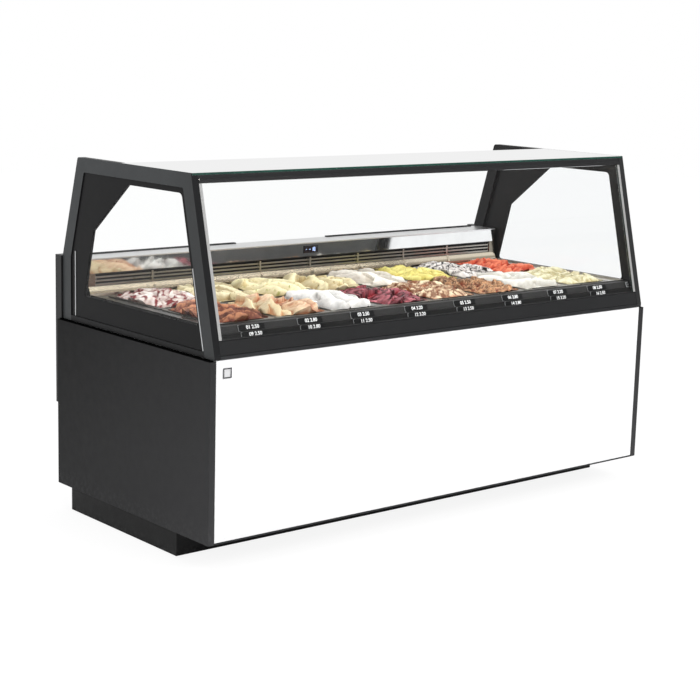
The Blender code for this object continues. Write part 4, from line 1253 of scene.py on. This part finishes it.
terminal = Build("compressor_terminal_box", "plastic", "screw")
terminal.box((0.502, 0.600, 0.205), (0.535, 0.680, 0.265), bevel=0.003)
terminal.done()

# tapering row of discs
plug = Build("plug_details", "rubber")
for i in range(5):
    plug.rod((1.770 + i * 0.0052, 1.0265, 0.0165), (1, 0, 0), radius=0.0062 - i * 0.0004,
             length=0.0030, sides=20, bevel=0.0006)
plug.done()


# ------------------------------------------------------------------ ice cream
def gelato_material():
    """Vertex colour with a fine crystal grain; the colour's alpha is its wetness."""
    m = Mat("gelato")
    colour = m.node("ShaderNodeVertexColor", layer_name="Col").outputs
    fine = m.noise(420.0, rough=0.6)
    mid = m.noise(95.0, detail=4.0, rough=0.6)
    base = m.mix(m.remap(fine, 0.0, 0.02), colour["Color"], (0.95, 0.93, 0.90))
    base = m.mix(m.remap(mid, 0.10, 0.0), base, m.tint(colour["Color"], (0.75, 0.68, 0.62)))
    rough = m.math("SUBTRACT", m.remap(mid, 0.46, 0.62), m.times(colour["Alpha"], 0.32), True)
    normal = m.bump(fine, strength=0.22, distance=0.0006)
    normal = m.bump(mid, strength=0.30, distance=0.0018, normal=normal)
    return m.principled(base=base, rough=rough, normal=normal, spec=0.16, sss=0.06,
                        sss_r=(1.0, 0.6, 0.4), sss_scale=0.0025)


GELATO = gelato_material()

# angle is the fold direction in degrees, spacing and fold the folds' distance and height,
# height the mound's; pale and dark are crest and hollow, the flavour's tones with painted shade
# in the dark; deep is the contrast, None for usual
Flavour = namedtuple("Flavour", "style angle spacing height fold pale dark mix mix_colour deep")
FLAVOURS = {
    "front": [
        ("fold", 55, 0.064, 0.050, 0.016, (196, 134, 98), (88, 44, 36),
         "swirl", (108, 56, 46), 0.8),
        ("fold", -20, 0.078, 0.060, 0.019, (244, 214, 180), (204, 148, 112),
         "swirl", (184, 120, 92), 0.8),
        ("fold", 25, 0.070, 0.058, 0.016, (244, 242, 239), (210, 208, 206), None, None, 0.65),
        ("ruffle", -50, 0.060, 0.052, 0.016, (198, 116, 126), (76, 12, 28),
         "sauce", (54, 3, 14), 1.0),
        ("ruffle", 40, 0.058, 0.052, 0.012, (250, 230, 196), (150, 88, 46),
         "swirl", (112, 56, 28), 1.0),
        ("ruffle", 10, 0.042, 0.052, 0.017, (206, 154, 112), (64, 32, 20),
         "shred", (30, 15, 10), 1.0),
        ("fold", 35, 0.080, 0.050, 0.011, (238, 236, 230), (206, 201, 190), None, None, None),
        ("ruffle", 70, 0.060, 0.050, 0.012, (234, 228, 196), (192, 180, 134),
         "bits", (170, 158, 96), 0.8),
    ],
    "back": [
        ("ruffle", 35, 0.052, 0.050, 0.013, (248, 240, 234), (206, 176, 166),
         "sauce", (120, 8, 16), 0.6),
        ("fold", 68, 0.070, 0.046, 0.011, (232, 222, 186), (196, 176, 130),
         "bits", (104, 90, 40), None),
        ("fold", 20, 0.085, 0.050, 0.010, (248, 238, 196), (226, 208, 158),
         "bits", (150, 150, 60), None),
        ("fold", -25, 0.078, 0.055, 0.012, (247, 237, 196), (214, 194, 148), None, None, 0.6),
        ("fold", 50, 0.095, 0.052, 0.014, (236, 230, 220), (192, 182, 168), None, None, 0.6),
        ("ruffle", 15, 0.060, 0.046, 0.009, (247, 238, 152), (222, 202, 98),
         "bits", (150, 140, 56), 0.6),
        ("ruffle", 60, 0.048, 0.052, 0.012, (246, 242, 238), (214, 204, 198),
         "lines", (26, 18, 16), 0.5),
        ("ruffle", -30, 0.046, 0.056, 0.012, (246, 144, 110), (214, 86, 58), None, None, 0.8),
    ],
}
ROW_SEED = {"front": 20, "back": 10}
LEFT_HALF = {"front_2": (244, 226, 186)}     # pan with a second colour on its left
SHRED_PALE = (214, 176, 140)
# what is mixed in: share of its colour, wetness, rise of the surface
MIX_EFFECT = {
    "sauce": (1.0, 1.0, 0.0012), "bits": (0.8, 0.4, 0.0014), "lines": (1.0, 0.7, -0.0012),
    "swirl": (1.0, 0.35, 0.0), "shred": (1.0, 0.0, 0.0),
}
SLAB_COUNT = {"fold": 11, "ruffle": 17}
SLAB_GAIN = {"fold": 1.0, "ruffle": 0.90}

# grid over a pan: inside RIM it spreads over the surface, outside it is tucked into the pan
ACROSS_COUNT, ALONG_COUNT = 73, 101
RIM = 0.90
grid_u, grid_v = np.meshgrid(np.linspace(-1, 1, ACROSS_COUNT), np.linspace(-1, 1, ALONG_COUNT))
grid_reach = np.maximum(np.abs(grid_u), np.abs(grid_v))
grid_pull = np.where(grid_reach > RIM, RIM / np.maximum(grid_reach, 1e-9), 1.0) / RIM
ACROSS, ALONG = grid_u * grid_pull, grid_v * grid_pull
TUCK = np.clip((grid_reach - RIM) / (1 - RIM), 0, 1)
HALF_WIDTH, HALF_LENGTH, CORNER_ROUND = 0.1205, 0.1755, 0.19


def linear(rgb):
    """Linear colour of an 8-bit display colour."""
    channels = [c / 255.0 for c in rgb]
    return np.array([c / 12.92 if c <= 0.04045 else ((c + 0.055) / 1.055) ** 2.4
                     for c in channels])


def slabs(flavour, seed, x, y, warp_x, warp_y):
    """Slabs left by the spatula: each tilts its own way and breaks off at its edge.

    Returns the height they add and a random tone for each point.
    """
    angle = math.radians(flavour.angle)
    rng = np.random.RandomState(1000 + seed)
    count = SLAB_COUNT[flavour.style]
    slab_x = rng.uniform(-0.115, 0.115, count)
    slab_y = rng.uniform(-0.170, 0.170, count)
    heading = angle + rng.uniform(-0.9, 0.9, count)
    slope = rng.uniform(0.26, 0.62, count)
    lift = rng.uniform(-0.0060, 0.0070, count)
    tone = rng.uniform(-1.0, 1.0, count)
    # ragged borders
    off_x = (warp_x + 0.007 * fractal(x * 48, y * 48, seed + 21, 2))[..., None] - slab_x
    off_y = (warp_y + 0.007 * fractal(x * 48, y * 48, seed + 22, 2))[..., None] - slab_y
    along = off_x * math.cos(angle) + off_y * math.sin(angle)
    aside = -off_x * math.sin(angle) + off_y * math.cos(angle)
    near = np.argmin((along * 1.35) ** 2 + (aside * 0.85) ** 2, axis=-1)
    rise = (np.cos(heading[near]) * (warp_x - slab_x[near])
            + np.sin(heading[near]) * (warp_y - slab_y[near])) * slope[near] + lift[near]
    return np.clip(rise, -0.014, 0.015) * SLAB_GAIN[flavour.style], tone[near]


def mound(flavour, seed):
    """Surface of one pan's ice cream about the pan's centre, with the fields that colour it."""
    x = ACROSS * HALF_WIDTH * np.sqrt(1 - CORNER_ROUND * ALONG * ALONG)
    y = ALONG * HALF_LENGTH * np.sqrt(1 - CORNER_ROUND * ACROSS * ACROSS)
    # the rim line wanders a little, as scooped ice cream does
    wander = fractal(x * 16 + seed, y * 16, seed + 5, 3) * 0.030
    x = np.clip(x * (1.020 + wander * 0.6), -0.1240, 0.1240)
    y = np.clip(y * (1.012 + wander * 0.6), -0.1790, 0.1790)
    # dome with its ends drawn to a point
    falloff = np.clip(np.abs(ACROSS) ** 2.8 * 0.98 + np.abs(ALONG) ** 3.0 * 0.98, 0, 1.6)
    dome = np.clip(1 - falloff * 0.84, 0.02, 1) ** 0.65
    mask = smooth(0.0, 0.30, dome)
    # folds run over a warped plane
    angle = math.radians(flavour.angle)
    warp_x = x + 0.020 * fractal(x * 13, y * 13, seed + 1, 3)
    warp_y = y + 0.020 * fractal(x * 13, y * 13, seed + 2, 3)
    phase = (warp_x * math.cos(angle) + warp_y * math.sin(angle)) / flavour.spacing
    cross = (-warp_x * math.sin(angle) + warp_y * math.cos(angle)) / flavour.spacing
    if flavour.style == "fold":
        wave = phase + 0.22 * np.sin(cross * 2.1 + seed)
        saw = wave - np.floor(wave)
        fold = saw**1.4 * (1 - smooth(0.84, 1.0, saw)) * 1.35
        detail = 0.35 * (ridged(x * 38, y * 38, seed + 7) - 0.5)
    else:
        wave = phase + 0.35 * np.sin(cross * 3.0 + seed)
        saw = wave - np.floor(wave)
        crests = np.clip(ridged(warp_x * 20, warp_y * 20, seed + 3), 0, 1.2) ** 1.6
        fold = 0.62 * saw**1.3 * (1 - smooth(0.80, 1.0, saw)) + 0.48 * crests
        detail = 0.40 * (ridged(x * 46, y * 46, seed + 7) - 0.5)
    fine = fractal(x * 120, y * 120, seed + 9, 3)
    slab, tone = slabs(flavour, seed, x, y, warp_x, warp_y)
    z = (PAN_TOP - 0.0040 + dome * flavour.height * 0.33
         + mask * flavour.fold * 0.80 * (fold - 0.42) + mask * 0.0034 * detail + 0.0009 * fine)
    z = z + mask * slab
    z = z + 0.009 * gradient_noise(x * 9 + seed, y * 7, seed + 4) * mask
    z = np.maximum(z, PAN_TOP - 0.0080 + 0.0015 * (1 + fine * 0.5))
    # tuck the sides in over the rim and down inside the pan
    inner_x = np.clip(x * 0.93, -0.1075, 0.1075)
    inner_y = np.clip(y * 0.93, -0.1620, 0.1620)
    tuck = smooth(0, 1, TUCK)
    x = x * (1 - tuck) + inner_x * tuck
    y = y * (1 - tuck) + inner_y * tuck
    z = z * (1 - tuck) + (PAN_TOP - 0.0015) * tuck
    over_rim = (np.abs(x) > 0.1105) | (np.abs(y) > 0.1655)
    z = np.where(over_rim, np.maximum(z, PAN_TOP + 0.0022), z)
    return SimpleNamespace(x=x, y=y, z=z, warp_x=warp_x, warp_y=warp_y, phase=phase, fold=fold,
                           dome=dome, mask=mask, tone=tone)


def mix_pattern(kind, s, drift, spatter, seed):
    """Where the mixed-in part shows on surface s, 0 to 1."""
    if kind == "sauce":
        veins = ridged(s.warp_x * 15 + 7, s.warp_y * 15, seed + 41, 2)
        share = smooth(0.58, 0.70, veins + 0.06 * spatter) * smooth(-0.25, 0.1, drift + 0.20)
        blobs = smooth(0.30, 0.40, fractal(s.x * 42, s.y * 42, seed + 43, 2))
        return np.clip(np.maximum(share, blobs * smooth(0.62, 0.75, veins)), 0, 1)
    if kind == "bits":
        patches = fractal(s.x * 18, s.y * 18, seed + 46, 2) + 0.05
        specks = smooth(0.33, 0.40, fractal(s.x * 85, s.y * 85, seed + 45, 2))
        return specks * smooth(-0.1, 0.15, patches)
    if kind == "lines":
        wide = np.abs(gradient_noise(s.warp_x * 24, s.warp_y * 24, seed + 47))
        thin = np.abs(gradient_noise(s.warp_x * 38 + 4, s.warp_y * 38, seed + 49))
        share = np.maximum(1 - smooth(0.055, 0.110, wide), 0.9 * (1 - smooth(0.036, 0.080, thin)))
        return share * smooth(-0.35, -0.05, fractal(s.x * 16, s.y * 16, seed + 51, 2))
    if kind == "swirl":
        bands = 0.5 + 0.5 * np.sin((s.phase * 0.9 + 0.45 * drift * 3) * 2 * np.pi)
        return smooth(0.55, 0.85, bands) * 0.85
    return smooth(0.55, 0.80, ridged(s.x * 70, s.y * 110, seed + 53, 2)) * 0.9


def blend(colour, other, share):
    share = share[..., None]
    return colour * (1 - share) + other * share


def gelato_colour(flavour, s, seed, left):
    """Colour and wetness over surface s; what is mixed in also moves the surface."""
    drift = fractal(s.x * 22 + 3, s.y * 22, seed + 31, 4)
    spatter = fractal(s.x * 70, s.y * 70, seed + 33, 3)
    # painted shade: hollows of the folds take the dark colour and lose light, open crests take
    # the pale one
    openness = np.clip(0.5 + (s.fold - np.mean(s.fold)) * 0.9 + spatter * 0.25, 0, 1)
    contrast, hollow_loss = (0.5, 0.62) if flavour.deep is None else (flavour.deep,) * 2
    pale, dark = linear(flavour.pale), linear(flavour.dark)
    level = 0.06 + openness * 0.95 + drift * 0.35 + 0.16 * s.tone - 0.5
    level = np.clip(0.5 + level * (1.0 + 0.45 * contrast), 0, 1)
    lit = 0.70 + 0.30 * openness[..., None]
    colour = blend(dark, pale, level) * lit
    if left:
        side = 1 - smooth(-0.055, 0.015, s.x + 0.10 * drift * 0.25)
        # painted shade in the folds on the second colour too
        colour = blend(colour, linear(left) * (0.62 + 0.38 * openness[..., None]), side)
    wet = np.zeros_like(s.x)
    if flavour.mix:
        pattern = mix_pattern(flavour.mix, s, drift, spatter, seed)
        if left:
            pattern = pattern * (1 - smooth(-0.055, 0.015, -s.x) * 0.9)
        strength, wetness, rise = MIX_EFFECT[flavour.mix]
        colour = blend(colour, linear(flavour.mix_colour), pattern * strength)
        wet = pattern * wetness
        s.z = s.z + pattern * rise * s.mask
    if flavour.mix == "shred":
        flecks = smooth(0.18, 0.30, fractal(s.x * 95, s.y * 140, seed + 57, 2))
        colour = blend(colour, linear(SHRED_PALE), flecks * 0.7)
    # light lost in the folds, caught on the crests
    reach = 4
    padded = np.pad(s.z, reach, mode="edge")
    steps = range(0, 2 * reach + 1, 2)
    softened = sum(padded[i:i + ALONG_COUNT, j:j + ACROSS_COUNT]
                   for i in steps for j in steps) / 25.0
    hollow = np.clip((softened - s.z) / 0.0042, 0, 1) ** 0.85
    crest = np.clip((s.z - softened) / 0.0050, 0, 1)
    hollow_tint = (dark / max(dark.max(), 1e-3)) ** 1.3 * 0.55 + 0.10
    colour = colour * (1 - hollow[..., None] * (1 - hollow_tint) * hollow_loss)
    colour = colour * (1 + 0.07 * crest)[..., None] * (1 + 0.08 * s.tone)[..., None]
    # deeper tone at the foot, where light is lost between the pans
    foot = smooth(0.0, 0.35, s.dome)[..., None] * 0.22 + 0.78
    return np.clip(colour * foot * 0.93, 0, 1), wet


def gelato(row, number):
    """Ice cream of one pan: the surface, a skirt down inside the pan and a closed bottom."""
    key = "%s_%d" % (row, number)
    seed = ROW_SEED[row] + number
    flavour = Flavour(*FLAVOURS[row][number - 1])
    centre_x, centre_y = PAN_X0 + (number - 1) * PAN_PITCH, ROW_Y[row]
    s = mound(flavour, seed)
    colour, wet = gelato_colour(flavour, s, seed, LEFT_HALF.get(key))
    xs, ys, colours = s.x.ravel(), s.y.ravel(), colour.reshape(-1, 3)
    verts = [tuple(point(centre_x + x, centre_y + y, z)) for x, y, z in zip(xs, ys, s.z.ravel())]

    nu, nv = ACROSS_COUNT, ALONG_COUNT
    faces = []
    for j in range(nv - 1):
        for i in range(nu - 1):
            k = j * nu + i
            faces.append((k, k + 1, k + nu + 1, k + nu))
    border = list(range(nu))
    border += [j * nu + nu - 1 for j in range(1, nv)]
    border += [(nv - 1) * nu + i for i in range(nu - 2, -1, -1)]
    border += [j * nu for j in range(nv - 2, 0, -1)]
    bottom_z = PAN_TOP - 0.030
    skirt = len(verts)
    for k in border:
        verts.append(tuple(point(centre_x + xs[k] * 0.985, centre_y + ys[k] * 0.990, bottom_z)))
    middle = len(verts)
    verts.append(tuple(point(centre_x, centre_y, bottom_z)))
    count = len(border)
    for i in range(count):
        j = (i + 1) % count
        faces.append((border[j], border[i], skirt + i, skirt + j))
    for i in range(count):
        faces.append((skirt + (i + 1) % count, skirt + i, middle))

    me = bpy.data.meshes.new("gelato_" + key)
    me.from_pydata(verts, [], faces)
    rgba = np.ones((len(verts), 4), np.float32)
    rgba[:skirt, :3] = colours
    rgba[:skirt, 3] = wet.ravel()
    # painted shade: the skirt down inside the pan is darkened
    rgba[skirt:middle, :3] = colours[border] * 0.7
    rgba[middle, :3] = colours[0]
    rgba[skirt:, 3] = 0
    attribute = me.color_attributes.new("Col", "FLOAT_COLOR", "POINT")
    attribute.data.foreach_set("color", rgba.ravel())
    me.materials.append(GELATO)
    me.update()
    me.shade_smooth()
    me.set_sharp_from_angle(angle=math.radians(34))
    ob = bpy.data.objects.new("gelato_" + key, me)
    bpy.context.scene.collection.objects.link(ob)
    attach(ob, "pan_" + key)


for row in ("front", "back"):
    for number in range(1, PAN_COUNT + 1):
        gelato(row, number)


# ------------------------------------------------------------------ floor
def floor_material():
    m = Mat("floor_pale")
    cloud = m.noise(2.2, detail=4.0, rough=0.6)
    base = m.blotch(cloud, (0.875, 0.875, 0.875), (0.895, 0.895, 0.895))
    # polished steel sees shade far out to the front right
    x, y, _ = m.xyz()
    far = m.times(m.fade(x, 0.8, 3.0), m.fade(y, -4.4, -3.0, low=1.0, high=0.0))
    far = m.times(far, m.light_path()["Is Glossy Ray"])
    base = m.mix(far, base, (0.075, 0.075, 0.074))
    lit = m.bsdf(base=base, rough=m.remap(cloud, 0.62, 0.72), spec=0.15)
    # an evenly lit sweep: the ground seen directly keeps only a faint trace of the shadow
    sweep = m.node("ShaderNodeEmission", {"Color": (1, 1, 1), "Strength": 1.06}).outputs[0]
    seen = m.times(m.light_path()["Is Camera Ray"], 0.84)
    return m.finish(m.mix_shader(seen, lit, sweep))


FLOOR_HALF, FLOOR_Z = 14, -0.0005
me = bpy.data.meshes.new("floor")
me.from_pydata([(i * FLOOR_HALF, j * FLOOR_HALF, FLOOR_Z)
                for i, j in ((-1, -1), (1, -1), (1, 1), (-1, 1))], [], [(0, 1, 2, 3)])
me.materials.append(floor_material())
floor = bpy.data.objects.new("floor", me)
bpy.context.scene.collection.objects.link(floor)


# ------------------------------------------------------------------ lights
def area(name, location, target, size, power):
    """Rectangular light aimed at a target, hidden from the camera and from reflections."""
    data = bpy.data.lights.new(name, "AREA")
    data.shape = "RECTANGLE"
    data.size, data.size_y = size
    data.energy = power
    ob = bpy.data.objects.new(name, data)
    ob.location = location
    ob.rotation_mode = "QUATERNION"
    ob.rotation_quaternion = (Vector(target) - Vector(location)).to_track_quat("-Z", "Y")
    bpy.context.scene.collection.objects.link(ob)
    ob.visible_camera = False
    ob.visible_glossy = False


area("key", (0.6, -4.2, 3.6), target=(0, 0, 0.7), size=(3.2, 2.2), power=152)
area("top", (0.0, 0.3, 4.2), target=(0, 0, 0.6), size=(4.6, 3.4), power=62)
area("fill_left", (-4.8, 0.6, 2.4), target=(0, 0, 0.6), size=(2.4, 2.4), power=30)


# ------------------------------------------------------------------ world
def studio_world(world):
    """White to the camera; graded grey with a dark panel for everything else."""
    g = Graph(world, "ShaderNodeOutputWorld")
    x, y, z = g.xyz(g.node("ShaderNodeTexCoord").outputs["Generated"])
    # brighter towards the front and right, dimmer behind the left side, brightest overhead
    side = g.plus(g.times(x, 0.70), g.times(y, -0.55))
    level = g.plus(g.times(side, 0.30), 0.62)
    level = g.plus(level, g.times(g.math("MAXIMUM", z, 0.0), 0.35))
    level = g.math("MAXIMUM", level, 0.22)
    # a dark panel stands to the front right, so that the front glass carries no haze there
    turn = g.math("ARCTAN2", x, g.times(y, -1.0))
    panel = g.times(g.fade(turn, 0.57, 0.67), g.invert(g.fade(turn, 1.10, 1.40)))
    panel = g.times(panel, g.invert(g.fade(z, 0.36, 0.62)))
    level = g.times(level, g.invert(g.times(panel, 0.86)))
    # polished faces see the pale sweep that closes the view behind the cabinet
    sweep = g.times(g.fade(y, 0.05, 0.35), g.invert(g.fade(z, 0.45, 0.75)))
    shine = g.times(g.times(sweep, 0.94), g.light_path()["Is Glossy Ray"])
    level = g.math("MAXIMUM", level, shine)
    graded, white = (
        g.node("ShaderNodeBackground", {"Color": (1, 1, 1), "Strength": strength}).outputs[0]
        for strength in (level, 1.0))
    g.set(g.out.inputs["Surface"], g.mix_shader(g.light_path()["Is Camera Ray"], graded, white))


world = bpy.data.worlds.new("studio")
bpy.context.scene.world = world
studio_world(world)
bpy.context.scene.view_settings.view_transform = "Standard"

# ------------------------------------------------------------------ camera
AZIMUTH, ELEVATION, ROLL = (math.radians(a) for a in (-40.2072, 10.8254, 1.5552))
CAMERA_PLACE = (-4.305785, -5.022523, 1.855091)

cam_data = bpy.data.cameras.new("camera")
cam = bpy.data.objects.new("camera", cam_data)
bpy.context.scene.collection.objects.link(cam)
back = Vector((math.sin(AZIMUTH) * math.cos(ELEVATION),
               -math.cos(AZIMUTH) * math.cos(ELEVATION), math.sin(ELEVATION)))
level_right = Vector((0, 0, 1)).cross(back).normalized()
level_up = back.cross(level_right)
right = level_right * math.cos(ROLL) + level_up * math.sin(ROLL)
up = -level_right * math.sin(ROLL) + level_up * math.cos(ROLL)
turn = Matrix((right, up, back)).transposed()
cam.matrix_world = Matrix.Translation(CAMERA_PLACE) @ turn.to_4x4()
cam_data.sensor_width = 36.0
cam_data.lens = 85.2541714
cam_data.clip_start, cam_data.clip_end = 0.05, 100.0
bpy.context.scene.camera = cam
